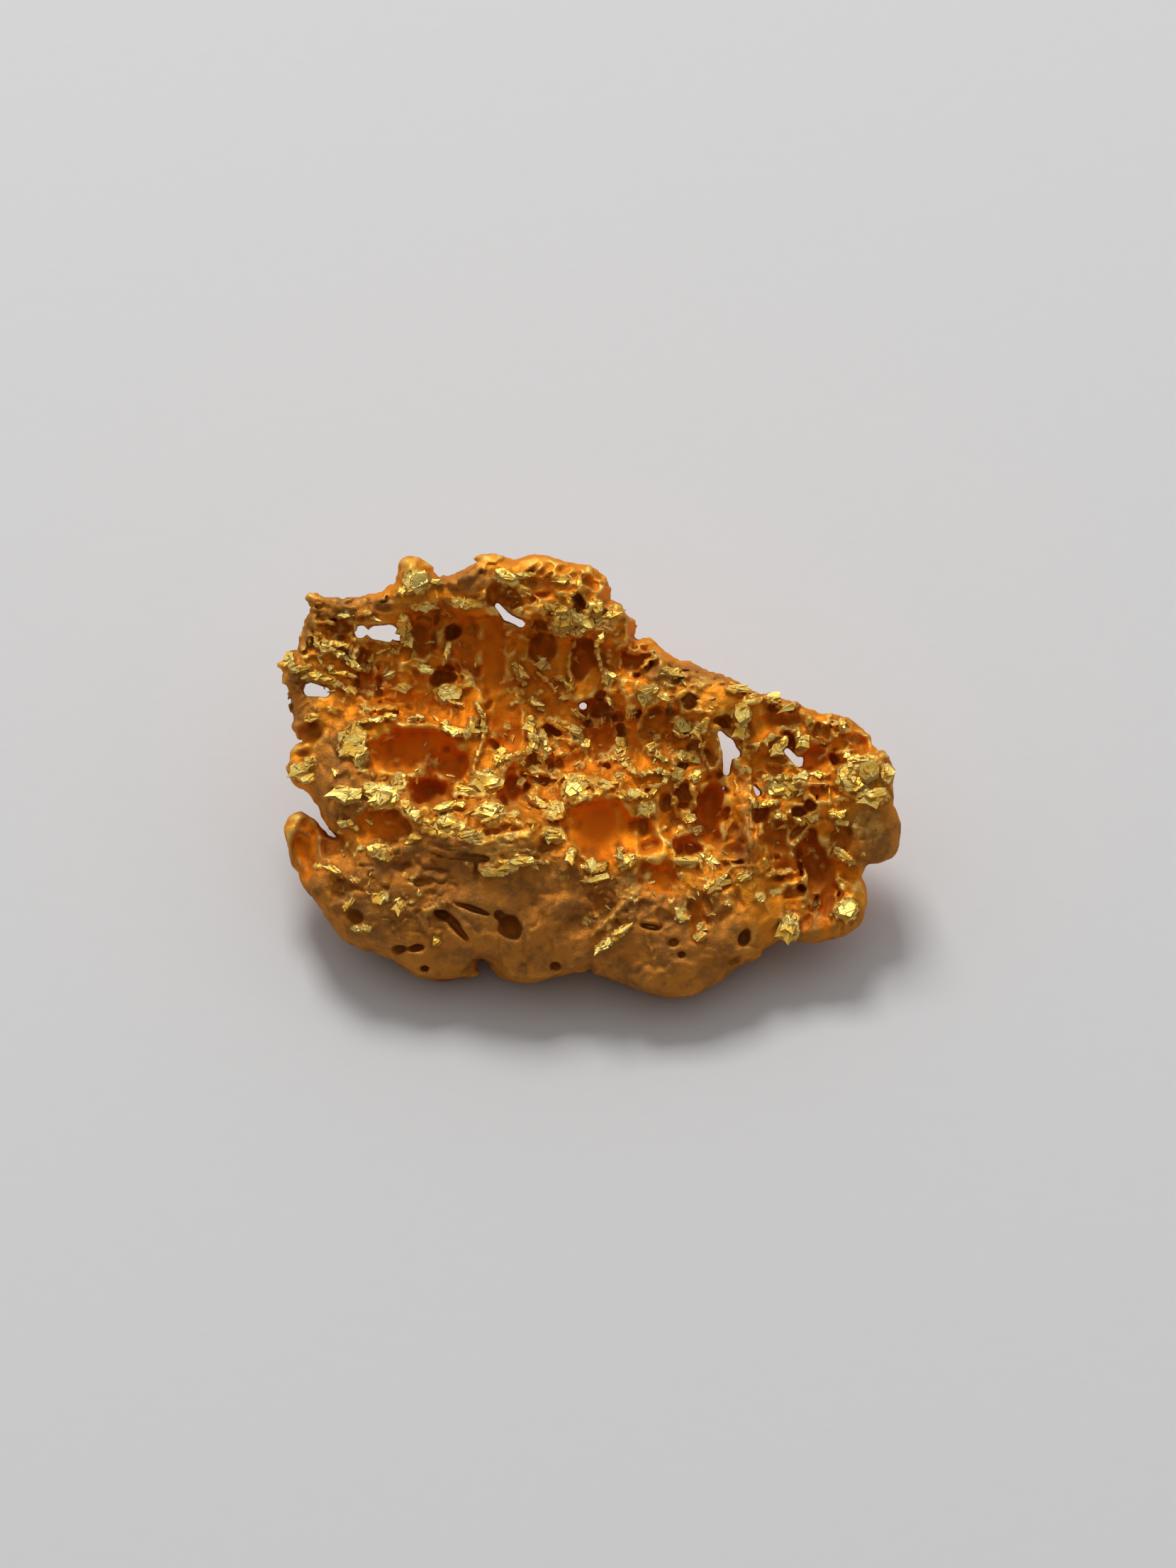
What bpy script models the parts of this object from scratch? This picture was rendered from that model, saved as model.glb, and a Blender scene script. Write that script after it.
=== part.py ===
"""A natural gold nugget: one solid lump of native gold, spongy on top and water-worn below.

The nugget is laid out on its broad upper face, which leans back from the table.  Places on that
face are given in millimetres as across (to the right), up (up the face) and out (away from the
gold, towards someone looking straight at the face).  The finished solid is turned to stand as it
lies on a table, cut flat where it is worn, and scaled to metres.
"""

import math
from typing import NamedTuple

import bmesh
import bpy
from mathutils import Matrix, Vector
from mathutils.bvhtree import BVHTree

# ---- driving dimensions, in millimetres and degrees ------------------------------------------

METRES_PER_MM = 0.001
FACE_LEAN = 35.0            # the broad face leans this far back from lying level
FACE_HEIGHT = 4.3           # the face's centre stands this high over the table
LUMP_VOXEL = 0.16           # cell size at which the lumps are fused
FINISH_VOXEL = 0.115        # cell size at which the pitted body is fused
LUMP_SMOOTHING = 13         # smoothing passes that round the fused lumps and the rim
FINISH_SMOOTHING = 2        # smoothing passes that wear the edges of the pits
TRIANGLES = 9300            # triangles kept in the finished solid
HOLE_REACH = 9.0            # a hole's cutter runs this far to each side of the face
PRISM_REACH = 9.0           # the outline's prism runs this far to each side of the face
OUTLINE_SPARE = 0.12        # the prism is this much wider than the outline, which wear takes off
BEAD_SPACING = 0.16         # distance between the beads that a ridge is made of

GOLD_COLOUR = (0.62, 0.32, 0.07, 1.0)
GOLD_ROUGHNESS = 0.42


class Lump(NamedTuple):
    """A rounded boss of gold: its middle on the face, its front and back, half sizes and turn."""

    across: float
    up: float
    front: float
    back: float
    half_across: float
    half_up: float
    turn: float = 0.0


class Pit(NamedTuple):
    """A hollow sunk into the face: its middle, half sizes, depth under the surface, and turn."""

    across: float
    up: float
    half_across: float
    half_up: float
    depth: float
    turn: float = 0.0


class Ridge(NamedTuple):
    """A raised bar on the face: its half width and the (across, up) places it runs through."""

    half_width: float
    route: tuple[tuple[float, float], ...]


# The nugget's outline seen straight at the face, clockwise from the horn at its upper left.
OUTLINE = (
    (-8.03, 5.27), (-7.9, 5.4), (-7.65, 5.4), (-7.45, 5.25), (-6.6, 5.27), (-6.3, 5.38), (-5.8, 5.4),
    (-5.6, 5.68), (-5.42, 5.85), (-5.4, 6.3), (-5.15, 6.48), (-4.85, 6.44), (-4.6, 6.2), (-4.3, 5.9),
    (-4.0, 5.8), (-3.5, 6.1), (-3.15, 6.22), (-3.28, 6.45), (-3.1, 6.58), (-2.8, 6.55), (-2.45, 6.38),
    (-2.1, 6.26), (-1.75, 6.45), (-1.35, 6.53), (-0.65, 6.28), (0.0, 6.2), (0.35, 6.02), (0.58, 5.65),
    (0.6, 5.25), (0.85, 5.0), (1.2, 4.6), (1.32, 4.4), (1.12, 4.2), (1.4, 4.03), (1.75, 4.14),
    (2.1, 3.98), (2.35, 3.68), (2.5, 3.42), (3.3, 3.25), (4.0, 2.97), (4.65, 2.62), (5.05, 2.67),
    (6.15, 2.27), (6.55, 2.0), (7.0, 2.02), (7.4, 1.9), (7.8, 1.63), (8.12, 1.05), (8.4, 1.03),
    (8.62, 0.7), (8.72, 0.2), (8.72, -0.4), (8.86, -1.0), (8.78, -1.6), (8.45, -2.08), (8.0, -2.22),
    (7.74, -2.42), (7.75, -2.75), (7.9, -3.15), (7.8, -3.65), (7.5, -4.1), (7.0, -4.4), (6.3, -4.53),
    (5.7, -4.48), (5.35, -4.3), (4.9, -4.62), (4.45, -5.0), (4.0, -5.35), (3.5, -5.75), (2.8, -5.99),
    (2.0, -6.03), (1.4, -5.95), (1.0, -5.74), (0.4, -5.62), (0.05, -5.33), (-0.4, -5.42),
    (-0.95, -5.45), (-1.4, -5.63), (-1.9, -5.68), (-2.35, -5.62), (-2.6, -5.25), (-3.0, -4.85),
    (-3.1, -5.15), (-2.9, -5.55), (-3.3, -5.7), (-3.9, -5.62), (-4.5, -5.42), (-5.1, -5.2),
    (-5.7, -4.85), (-6.3, -4.73), (-6.8, -4.35), (-7.3, -3.7), (-7.8, -3.33), (-8.15, -2.9),
    (-8.4, -2.3), (-8.6, -1.5), (-8.55, -0.95), (-8.25, -0.68), (-7.9, -0.8), (-7.62, -1.28),
    (-7.2, -1.5), (-7.35, -1.0), (-7.55, -0.55), (-7.8, -0.22), (-8.1, -0.12), (-8.4, 0.2),
    (-8.55, 0.42), (-8.38, 0.65), (-8.2, 1.0), (-7.9, 1.15), (-8.15, 1.34), (-8.38, 1.62),
    (-8.4, 2.1), (-8.62, 2.5), (-8.88, 3.42), (-8.65, 3.64), (-8.3, 3.8), (-8.12, 4.4), (-7.9, 4.9),
)

SHELF = (                   # the thin ledge that juts out at the upper left
    Lump(-7.6, 4.6, -0.55, -1.75, 1.5, 1.1), Lump(-6.2, 4.9, -0.45, -1.7, 1.7, 0.8),
    Lump(-7.9, 3.2, -0.5, -1.8, 1.2, 1.0), Lump(-6.8, 3.2, -0.65, -2.2, 1.5, 1.5),
    Lump(-7.9, 1.9, -0.8, -2.2, 0.9, 0.9), Lump(-5.4, 3.6, -0.8, -2.6, 1.7, 1.7),
    Lump(-4.9, 5.7, -0.2, -1.5, 0.9, 1.0), Lump(-3.6, 5.6, -0.3, -1.9, 1.3, 0.9),
)
BACK_RIM = (                # the high back edge, middle of the top
    Lump(-2.6, 5.8, -0.1, -2.1, 1.3, 0.95), Lump(-1.4, 5.5, 0.1, -2.4, 1.5, 1.25),
    Lump(-0.2, 5.1, 0.1, -2.6, 1.3, 1.4), Lump(0.6, 4.4, 0.0, -2.8, 1.1, 1.1),
)
DISH = (                    # the sunken middle, spongy with pits
    Lump(-3.8, 2.8, -0.9, -3.4, 2.2, 2.3), Lump(-2.0, 3.2, -0.9, -3.6, 2.2, 2.4),
    Lump(0.0, 3.0, -0.6, -3.8, 2.0, 2.0), Lump(-2.6, 1.0, -0.5, -4.4, 2.4, 1.9),
    Lump(0.4, 1.2, -0.35, -4.6, 2.2, 1.9),
)
LEFT_WALL = (               # the left side and the flap below the left notch
    Lump(-7.2, 0.9, -0.25, -2.5, 1.3, 1.3), Lump(-6.6, -0.4, 0.35, -2.9, 1.4, 1.4),
    Lump(-8.0, 0.5, -0.7, -1.9, 0.75, 0.7), Lump(-8.1, -1.6, -0.5, -1.9, 0.75, 1.2, 8.0),
    Lump(-7.6, -2.6, -0.2, -2.1, 1.0, 1.2, 20.0), Lump(-6.7, -3.3, 0.35, -1.9, 1.3, 1.5, 30.0),
)
CREST = (                   # the long crest and the smooth wall in front of it
    Lump(-5.3, 0.9, 0.15, -3.6, 1.9, 1.4), Lump(-4.9, -1.2, 0.95, -3.6, 1.9, 1.3),
    Lump(-2.6, -1.5, 1.65, -3.8, 1.9, 1.15), Lump(-5.3, -3.1, 0.95, -2.7, 1.9, 1.9),
    Lump(-4.2, -4.4, 0.5, -2.05, 1.7, 1.4), Lump(-2.3, -3.4, 1.35, -2.4, 1.9, 1.9),
    Lump(-1.5, -4.5, 0.95, -1.7, 1.5, 1.35), Lump(-0.6, -2.9, 1.1, -2.8, 1.4, 1.6),
)
BELLY = (                   # the swollen lower front, right of the middle
    Lump(0.3, -1.2, 0.75, -4.1, 1.6, 1.6), Lump(2.2, -4.4, 0.95, -2.0, 2.2, 1.75),
    Lump(1.4, -3.2, 0.95, -2.6, 1.7, 1.5), Lump(3.9, -4.1, 0.75, -1.9, 1.5, 1.5, 35.0),
    Lump(3.0, -2.4, 0.65, -3.0, 1.9, 1.6),
)
RIGHT_RIDGE = (             # the ridge that runs down to the right from the back rim
    Lump(2.0, 0.2, 0.25, -4.4, 1.8, 1.6), Lump(1.5, 2.6, 0.25, -3.2, 1.4, 1.5),
    Lump(3.0, 2.3, 0.3, -2.9, 1.7, 1.25, -18.0), Lump(4.2, 1.4, 0.2, -2.6, 1.5, 1.6),
    Lump(3.9, -0.6, 0.35, -3.2, 1.6, 1.8), Lump(5.0, -2.4, 0.5, -2.7, 1.5, 1.7),
)
RIGHT_WING = (              # the flat wing at the right, clear of the table
    Lump(5.6, 1.3, 0.15, -1.9, 1.5, 1.2, -10.0), Lump(5.9, -0.4, 0.3, -2.1, 1.6, 1.4),
    Lump(7.2, 1.0, 0.25, -1.7, 1.1, 1.05), Lump(7.9, 0.3, 0.4, -1.5, 0.95, 0.95),
    Lump(8.0, -1.3, 0.05, -1.8, 0.95, 1.05), Lump(6.7, -1.3, 0.15, -2.1, 1.3, 1.4),
    Lump(6.9, -3.2, 0.1, -1.7, 1.15, 1.4), Lump(6.1, -3.6, 0.2, -1.7, 1.1, 1.0),
    Lump(5.1, -3.6, 0.2, -2.2, 1.0, 1.0),
)
UNDERSIDE = (               # the hidden mass and the back feet that it stands on
    Lump(-2.6, -1.0, 0.0, -4.0, 3.4, 2.4), Lump(1.6, -1.0, 0.0, -3.9, 3.2, 2.3),
    Lump(-2.4, 0.5, -2.0, -5.6, 1.5, 1.5), Lump(2.3, 0.9, -2.0, -5.85, 1.6, 1.5),
    Lump(-0.2, 1.6, -1.5, -5.3, 2.2, 1.8),
)
LUMPS = (
    SHELF + BACK_RIM + DISH + LEFT_WALL + CREST + BELLY + RIGHT_RIDGE + RIGHT_WING + UNDERSIDE
)

HOLLOWS = (                 # broad hollows with glowing walls
    Pit(-4.9, 1.0, 1.38, 0.72, 1.15, 4.0), Pit(-4.55, -0.2, 0.55, 0.42, 2.1),
    Pit(-4.0, 0.55, 0.7, 0.5, 1.3), Pit(0.35, -1.15, 0.92, 0.85, 1.1), Pit(1.1, -1.4, 0.6, 0.5, 0.6),
    Pit(-2.7, 3.6, 0.42, 1.2, 0.65, 4.0), Pit(-2.35, 2.1, 0.5, 1.3, 0.7, 8.0),
    Pit(-3.45, 3.85, 0.35, 0.85, 0.5), Pit(-5.75, -1.2, 0.75, 0.45, 0.6),
    Pit(3.45, -0.75, 0.42, 0.95, 1.0, -8.0), Pit(-8.0, -2.0, 0.3, 0.55, 0.45, 5.0),
    Pit(2.0, -2.6, 0.5, 0.42, 0.55), Pit(5.35, -1.45, 0.38, 0.5, 0.6),
    Pit(6.35, -2.2, 0.38, 0.85, 0.8, 5.0), Pit(7.65, 1.25, 0.42, 0.3, 0.45, -30.0),
    Pit(6.4, 0.8, 0.42, 0.36, 0.6), Pit(5.45, 1.8, 0.6, 0.3, 0.6, -10.0), Pit(1.9, 1.7, 0.5, 0.32, 0.5),
    Pit(-2.15, -0.1, 0.33, 0.5, 0.8, 5.0), Pit(-1.35, 0.15, 0.42, 0.25, 0.6, -10.0),
    Pit(-1.2, 3.8, 0.38, 0.4, 0.6), Pit(-0.15, 3.6, 0.35, 0.65, 0.6, -8.0),
    Pit(1.3, 3.45, 0.4, 0.33, 0.8), Pit(-6.25, 3.0, 0.28, 0.8, 0.5), Pit(-4.72, 4.1, 0.3, 0.5, 0.5),
    Pit(0.4, 1.3, 0.42, 0.6, 0.6), Pit(3.08, -3.8, 0.24, 0.6, 0.45, -3.0),
    Pit(6.8, -3.0, 0.3, 0.8, 0.5, -5.0), Pit(-1.5, 5.65, 0.5, 0.25, 0.5, -10.0),
    Pit(-7.0, 4.4, 0.45, 0.2, 0.6), Pit(4.1, -1.9, 0.4, 0.3, 0.6), Pit(5.6, -2.35, 0.45, 0.25, 0.5),
    Pit(4.85, -0.75, 0.3, 0.3, 0.5), Pit(-7.9, 1.45, 0.4, 0.25, 0.5, -10.0),
)
SHARP_PITS = (              # small dark pits
    Pit(-2.4, 5.3, 0.48, 0.4, 1.3, -20.0), Pit(-3.85, 4.3, 0.27, 0.26, 1.5),
    Pit(-4.05, 3.05, 0.32, 0.28, 1.5), Pit(0.25, 2.15, 0.42, 0.28, 1.3, -25.0),
    Pit(0.62, 1.88, 0.25, 0.2, 1.4), Pit(0.12, 5.68, 0.36, 0.2, 0.7, -25.0),
    Pit(2.85, 2.35, 0.27, 0.25, 0.8), Pit(2.2, -0.6, 0.24, 0.4, 1.3), Pit(2.72, -0.35, 0.26, 0.42, 1.3, 10.0),
    Pit(2.8, -1.75, 0.5, 0.28, 1.2), Pit(-2.25, -4.0, 0.3, 0.36, 1.0, 35.0),
    Pit(-3.8, -4.0, 0.2, 0.5, 0.8, 40.0), Pit(-5.25, -4.65, 0.28, 0.2, 0.9),
    Pit(-6.55, -3.75, 0.28, 0.22, 0.5, -30.0), Pit(4.4, -4.4, 0.18, 0.26, 0.9, -15.0),
    Pit(-4.6, -2.78, 0.4, 0.18, 0.7, 3.0), Pit(-3.3, -2.07, 0.62, 0.16, 0.6, -2.0),
    Pit(5.72, 1.2, 0.2, 0.26, 0.8),
)

RIDGES = (                  # bars and blades that stand up between the pits
    Ridge(0.22, ((-7.9, 5.25), (-6.6, 5.12), (-5.1, 5.3))),
    Ridge(0.2, ((-7.7, 4.72), (-6.2, 4.8), (-4.4, 4.95))),
    Ridge(0.2, ((-3.9, 5.2), (-2.9, 5.1))),
    Ridge(0.15, ((-7.8, 4.1), (-7.0, 3.75), (-6.4, 3.2))),
    Ridge(0.15, ((-7.5, 2.95), (-6.6, 2.6))),
    Ridge(0.16, ((-3.7, 3.45), (-3.4, 3.1), (-3.45, 2.75), (-3.97, 2.6))),
    Ridge(0.16, ((-3.17, 2.28), (-2.95, 1.7), (-3.09, 0.88), (-3.27, 0.28))),
    Ridge(0.26, ((-1.41, 0.44), (-0.6, 0.24), (0.71, -0.08))),
    Ridge(0.16, ((-0.53, 1.68), (-0.15, 1.2), (-0.13, 0.64), (-0.37, 0.4))),
    Ridge(0.16, ((-1.65, 1.76), (-1.57, 1.4), (-1.65, 1.0), (-1.97, 0.8))),
    Ridge(0.14, ((0.39, 4.16), (0.27, 3.72), (0.43, 3.32), (0.75, 3.08))),
    Ridge(0.13, ((-0.37, 4.04), (-0.57, 3.56), (-0.49, 3.0), (-0.45, 2.6))),
    Ridge(0.18, ((1.39, 0.28), (2.19, 0.36), (2.2, 0.05), (1.5, -0.2))),
    Ridge(0.13, ((3.15, 1.2), (3.47, 0.44))),
    Ridge(0.15, ((4.2, -0.2), (4.3, -1.0), (4.27, -1.56))),
    Ridge(0.15, ((4.87, -1.12), (4.65, -1.8), (4.7, -2.6))),
    Ridge(0.16, ((6.1, 1.15), (6.6, 1.25), (7.0, 1.45))),
    Ridge(0.3, ((-4.3, -1.1), (-3.0, -1.45), (-1.7, -1.5))),
    Ridge(0.22, ((-2.6, -2.4), (-1.3, -2.1))),
)

# Holes right through the nugget, each a chain of (across, up, radius) seen straight at the face.
HOLES = (
    ((-6.45, 4.35, 0.2),),
    ((-6.0, 4.3, 0.24), (-5.65, 4.28, 0.24), (-5.4, 4.2, 0.14)),
    ((-7.88, 2.72, 0.23), (-7.45, 2.6, 0.14)),
    ((-2.58, 5.08, 0.12), (-2.3, 4.75, 0.14), (-1.95, 4.56, 0.13)),
    ((-0.15, 2.22, 0.13),),
    ((3.85, 1.45, 0.16), (3.98, 1.1, 0.2), (4.15, 0.88, 0.16)),
    ((3.98, 1.1, 0.2), (3.95, 0.4, 0.14)),
    ((5.75, 0.88, 0.15), (5.95, 0.6, 0.13)),
)


# ---- building -------------------------------------------------------------------------------

def clear_scene() -> None:
    """Remove every object that the scene already holds."""
    for old in list(bpy.data.objects):
        bpy.data.objects.remove(old, do_unlink=True)


def add_object(name: str, mesh: bpy.types.Mesh) -> bpy.types.Object:
    """Put a mesh into the scene as an object of the given name."""
    made = bpy.data.objects.new(name, mesh)
    bpy.context.scene.collection.objects.link(made)
    return made


def object_from(name: str, shape: bmesh.types.BMesh) -> bpy.types.Object:
    """Turn a bmesh into an object and free the bmesh."""
    mesh = bpy.data.meshes.new(name)
    shape.to_mesh(mesh)
    shape.free()
    return add_object(name, mesh)


def baked(worked: bpy.types.Object) -> bpy.types.Object:
    """Replace an object's mesh with what its modifiers make of it."""
    graph = bpy.context.evaluated_depsgraph_get()
    mesh = bpy.data.meshes.new_from_object(worked.evaluated_get(graph))
    worked.modifiers.clear()
    worked.data = mesh
    return worked


def add_ellipsoid(shape: bmesh.types.BMesh, place: Vector, radii: Vector, turn: float) -> None:
    """Add a closed ellipsoid, turned by so many degrees in the plane of the face."""
    matrix = (
        Matrix.Translation(place)
        @ Matrix.Rotation(math.radians(turn), 4, "Z")
        @ Matrix.Diagonal(radii.to_4d())
    )
    bmesh.ops.create_icosphere(shape, subdivisions=3, radius=1.0, matrix=matrix)


def add_rod(shape: bmesh.types.BMesh, across: float, up: float, radius: float) -> None:
    """Add a closed round rod that runs straight through the face."""
    bmesh.ops.create_cone(
        shape,
        cap_ends=True,
        segments=12,
        radius1=radius,
        radius2=radius,
        depth=2.0 * HOLE_REACH,
        matrix=Matrix.Translation((across, up, 0.0)),
    )


def fuse(worked: bpy.types.Object, voxel: float, smoothing: int) -> bpy.types.Object:
    """Melt overlapping closed shapes into one skin and wear its edges round."""
    remesh = worked.modifiers.new("Fuse", "REMESH")
    remesh.mode = "VOXEL"
    remesh.voxel_size = voxel
    if smoothing:
        wear = worked.modifiers.new("Wear", "SMOOTH")
        wear.factor = 0.5
        wear.iterations = smoothing
    return baked(worked)


def combine(body: bpy.types.Object, tool: bpy.types.Object, operation: str) -> bpy.types.Object:
    """Apply a Boolean with a closed tool to the body, and remove the tool."""
    cut = body.modifiers.new("Combine", "BOOLEAN")
    cut.solver = "EXACT"
    cut.operation = operation
    cut.object = tool
    baked(body)
    bpy.data.objects.remove(tool, do_unlink=True)
    return body


def lump_body() -> bpy.types.Object:
    """Fuse all the lumps into one body."""
    shape = bmesh.new()
    for lump in LUMPS:
        place = Vector((lump.across, lump.up, (lump.front + lump.back) / 2.0))
        radii = Vector((lump.half_across, lump.half_up, (lump.front - lump.back) / 2.0))
        add_ellipsoid(shape, place, radii, lump.turn)
    return fuse(object_from("lumps", shape), LUMP_VOXEL, 0)


def widened(outline: tuple[tuple[float, float], ...], spare: float) -> list[Vector]:
    """Move each corner of a clockwise outline outwards by the spare width."""
    corners = [Vector(corner) for corner in outline]
    moved = []
    for index, corner in enumerate(corners):
        along = (corners[(index + 1) % len(corners)] - corners[index - 1]).normalized()
        moved.append(corner + spare * Vector((-along.y, along.x)))
    return moved


def outline_prism() -> bpy.types.Object:
    """Make the closed prism that the outline sweeps straight through the face."""
    shape = bmesh.new()
    corners = widened(OUTLINE, OUTLINE_SPARE)
    ring = [shape.verts.new((corner.x, corner.y, PRISM_REACH)) for corner in reversed(corners)]
    face = shape.faces.new(ring)
    swept = bmesh.ops.extrude_face_region(shape, geom=[face], use_keep_orig=True)
    moved = [item for item in swept["geom"] if isinstance(item, bmesh.types.BMVert)]
    bmesh.ops.translate(shape, verts=moved, vec=(0.0, 0.0, -2.0 * PRISM_REACH))
    bmesh.ops.recalc_face_normals(shape, faces=shape.faces)
    bmesh.ops.triangulate(shape, faces=shape.faces)
    return object_from("outline", shape)


def surface_out(tree: BVHTree, across: float, up: float) -> float:
    """Find how far out the body's front surface lies at a place on the face."""
    hit = tree.ray_cast(Vector((across, up, PRISM_REACH)), Vector((0.0, 0.0, -1.0)))[0]
    return 0.0 if hit is None else hit.z


def along_route(route: tuple[tuple[float, float], ...], spacing: float) -> list[Vector]:
    """Set places along a route no further apart than the spacing."""
    places = [Vector(route[0])]
    for start, end in zip(route, route[1:]):
        leg = Vector(end) - Vector(start)
        steps = math.ceil(leg.length / spacing)
        places += [Vector(start) + leg * (step / steps) for step in range(1, steps + 1)]
    return places


def ridge_beads(body: bpy.types.Object) -> bpy.types.Object:
    """Make one closed shape of all the ridges, each a string of beads half sunk in the body."""
    tree = BVHTree.FromObject(body, bpy.context.evaluated_depsgraph_get())
    shape = bmesh.new()
    for ridge in RIDGES:
        for place in along_route(ridge.route, BEAD_SPACING):
            centre = Vector((place.x, place.y, surface_out(tree, place.x, place.y)))
            add_ellipsoid(shape, centre, Vector((ridge.half_width,) * 3), 0.0)
    return fuse(object_from("ridges", shape), FINISH_VOXEL, 0)


def pit_cutter(body: bpy.types.Object) -> bpy.types.Object:
    """Make one closed cutter for every hollow, pit and hole."""
    tree = BVHTree.FromObject(body, bpy.context.evaluated_depsgraph_get())
    shape = bmesh.new()
    for pit in HOLLOWS + SHARP_PITS:
        place = Vector((pit.across, pit.up, surface_out(tree, pit.across, pit.up)))
        radii = Vector((pit.half_across, pit.half_up, pit.depth))
        add_ellipsoid(shape, place, radii, pit.turn)
    for chain in HOLES:
        for across, up, radius in chain:
            add_rod(shape, across, up, radius)
    return fuse(object_from("pits", shape), FINISH_VOXEL, 0)


def thinned(body: bpy.types.Object, triangles: int) -> bpy.types.Object:
    """Triangulate the body and reduce it to the given number of triangles."""
    body.modifiers.new("Triangles", "TRIANGULATE")
    baked(body)
    reduce = body.modifiers.new("Reduce", "DECIMATE")
    reduce.decimate_type = "COLLAPSE"
    reduce.ratio = min(1.0, triangles / len(body.data.polygons))
    reduce.use_collapse_triangulate = True
    return baked(body)


def stand_on_table(body: bpy.types.Object) -> None:
    """Lean the face back, cut the worn flats at table height, and centre the body over z = 0."""
    shape = bmesh.new()
    shape.from_mesh(body.data)
    lean = Matrix.Rotation(math.radians(FACE_LEAN), 4, "X")
    bmesh.ops.transform(shape, verts=shape.verts, matrix=Matrix.Translation((0.0, 0.0, FACE_HEIGHT)) @ lean)
    everything = shape.verts[:] + shape.edges[:] + shape.faces[:]
    cut = bmesh.ops.bisect_plane(
        shape,
        geom=everything,
        dist=1e-5,
        plane_co=(0.0, 0.0, 0.0),
        plane_no=(0.0, 0.0, -1.0),
        clear_outer=True,
    )
    rims = [item for item in cut["geom_cut"] if isinstance(item, bmesh.types.BMEdge)]
    bmesh.ops.holes_fill(shape, edges=rims, sides=0)
    bmesh.ops.recalc_face_normals(shape, faces=shape.faces)
    bmesh.ops.triangulate(shape, faces=shape.faces)
    xs = [vertex.co.x for vertex in shape.verts]
    ys = [vertex.co.y for vertex in shape.verts]
    centre = Vector(((min(xs) + max(xs)) / 2.0, (min(ys) + max(ys)) / 2.0, 0.0))
    bmesh.ops.translate(shape, verts=shape.verts, vec=-centre)
    bmesh.ops.scale(shape, verts=shape.verts, vec=(METRES_PER_MM,) * 3)
    shape.to_mesh(body.data)
    shape.free()


def gold_material() -> bpy.types.Material:
    """Make the nugget's own worn gold."""
    gold = bpy.data.materials.new("gold")
    gold.use_nodes = True
    surface = gold.node_tree.nodes["Principled BSDF"]
    surface.inputs["Base Color"].default_value = GOLD_COLOUR
    surface.inputs["Metallic"].default_value = 1.0
    surface.inputs["Roughness"].default_value = GOLD_ROUGHNESS
    return gold


def build_nugget() -> bpy.types.Object:
    """Model the nugget: fused lumps inside the outline, pitted, worn and stood on the table."""
    body = lump_body()
    combine(body, outline_prism(), "INTERSECT")
    fuse(body, LUMP_VOXEL, LUMP_SMOOTHING)
    combine(body, ridge_beads(body), "UNION")
    fuse(body, FINISH_VOXEL, 0)
    combine(body, pit_cutter(body), "DIFFERENCE")
    fuse(body, FINISH_VOXEL, FINISH_SMOOTHING)
    thinned(body, TRIANGLES)
    stand_on_table(body)
    body.name = "nugget"
    body.data.name = "nugget"
    body.data.materials.clear()
    body.data.materials.append(gold_material())
    body.data.shade_smooth()
    body.data.set_sharp_from_angle(angle=math.radians(50.0))
    return body


def main() -> None:
    """Build the nugget in an empty scene."""
    clear_scene()
    build_nugget()


main()
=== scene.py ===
"""A natural gold nugget on pale paper: worn matte skin, orange hollows, thin ridges and bright flakes.

The nugget's form is worked out on its broad upper face, in millimetres: across (to the right), up
(up the face) and out (away from the gold).  Lumps, sunken floors and their wrinkles, pits, cells, a
crystal crust with its ridges, and holes are blended in a field of signed distances, which is skinned,
turned to stand as it lies, and dressed in one gold finish.  The crystal flakes are small ragged
plates, each in two steps, set on the surface by a Geometry Nodes tree.
"""

import logging
import math
from dataclasses import dataclass, field
from enum import Enum
from typing import Any, Callable, NamedTuple, Optional

import bpy
import numpy as np
import openvdb
from mathutils import Euler, Matrix, Vector


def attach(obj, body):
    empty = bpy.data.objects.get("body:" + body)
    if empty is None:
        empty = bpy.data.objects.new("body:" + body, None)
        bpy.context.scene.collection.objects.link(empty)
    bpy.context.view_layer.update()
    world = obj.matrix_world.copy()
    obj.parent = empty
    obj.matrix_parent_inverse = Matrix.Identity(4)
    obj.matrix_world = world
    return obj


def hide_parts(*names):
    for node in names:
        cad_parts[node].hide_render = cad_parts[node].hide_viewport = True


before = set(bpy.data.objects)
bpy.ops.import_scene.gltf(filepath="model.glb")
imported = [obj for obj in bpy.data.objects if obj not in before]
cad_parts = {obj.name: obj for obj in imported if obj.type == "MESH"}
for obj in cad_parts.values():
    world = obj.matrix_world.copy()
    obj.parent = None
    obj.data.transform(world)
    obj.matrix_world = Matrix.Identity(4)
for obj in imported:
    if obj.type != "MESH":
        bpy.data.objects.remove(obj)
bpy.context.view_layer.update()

LOG = logging.getLogger("nugget")
METRES_PER_MM = 0.001
# how far out an area of the finish reaches, as a share of its half size
PATCH_REACH = 1.25
# how many cells a layout draws before it repeats, and how far into it the face's middle lies
CELLS_DRAWN = 256
CELLS_IN = 50.0

Triple = tuple[float, float, float]
Colour = tuple[float, float, float, float]
Route = tuple[tuple[float, float], ...]
Cut = tuple[slice, slice, slice]
# a window of the field and the distances of a shape in it, or None where the shape misses the field
Measured = Optional[tuple[Cut, np.ndarray]]
# the window that holds one sample for each column of the field
LEVEL = (slice(None), slice(None), slice(0, 1))


class Lump(NamedTuple):
    """A rounded boss of gold: its middle on the face, its front and back, half sizes and turn."""

    across: float
    up: float
    front: float
    back: float
    half_across: float
    half_up: float
    turn: float = 0.0


class Pit(NamedTuple):
    """A hollow: its middle, half sizes, depth under the surface, and turn."""

    across: float
    up: float
    half_across: float
    half_up: float
    depth: float
    turn: float = 0.0


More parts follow.
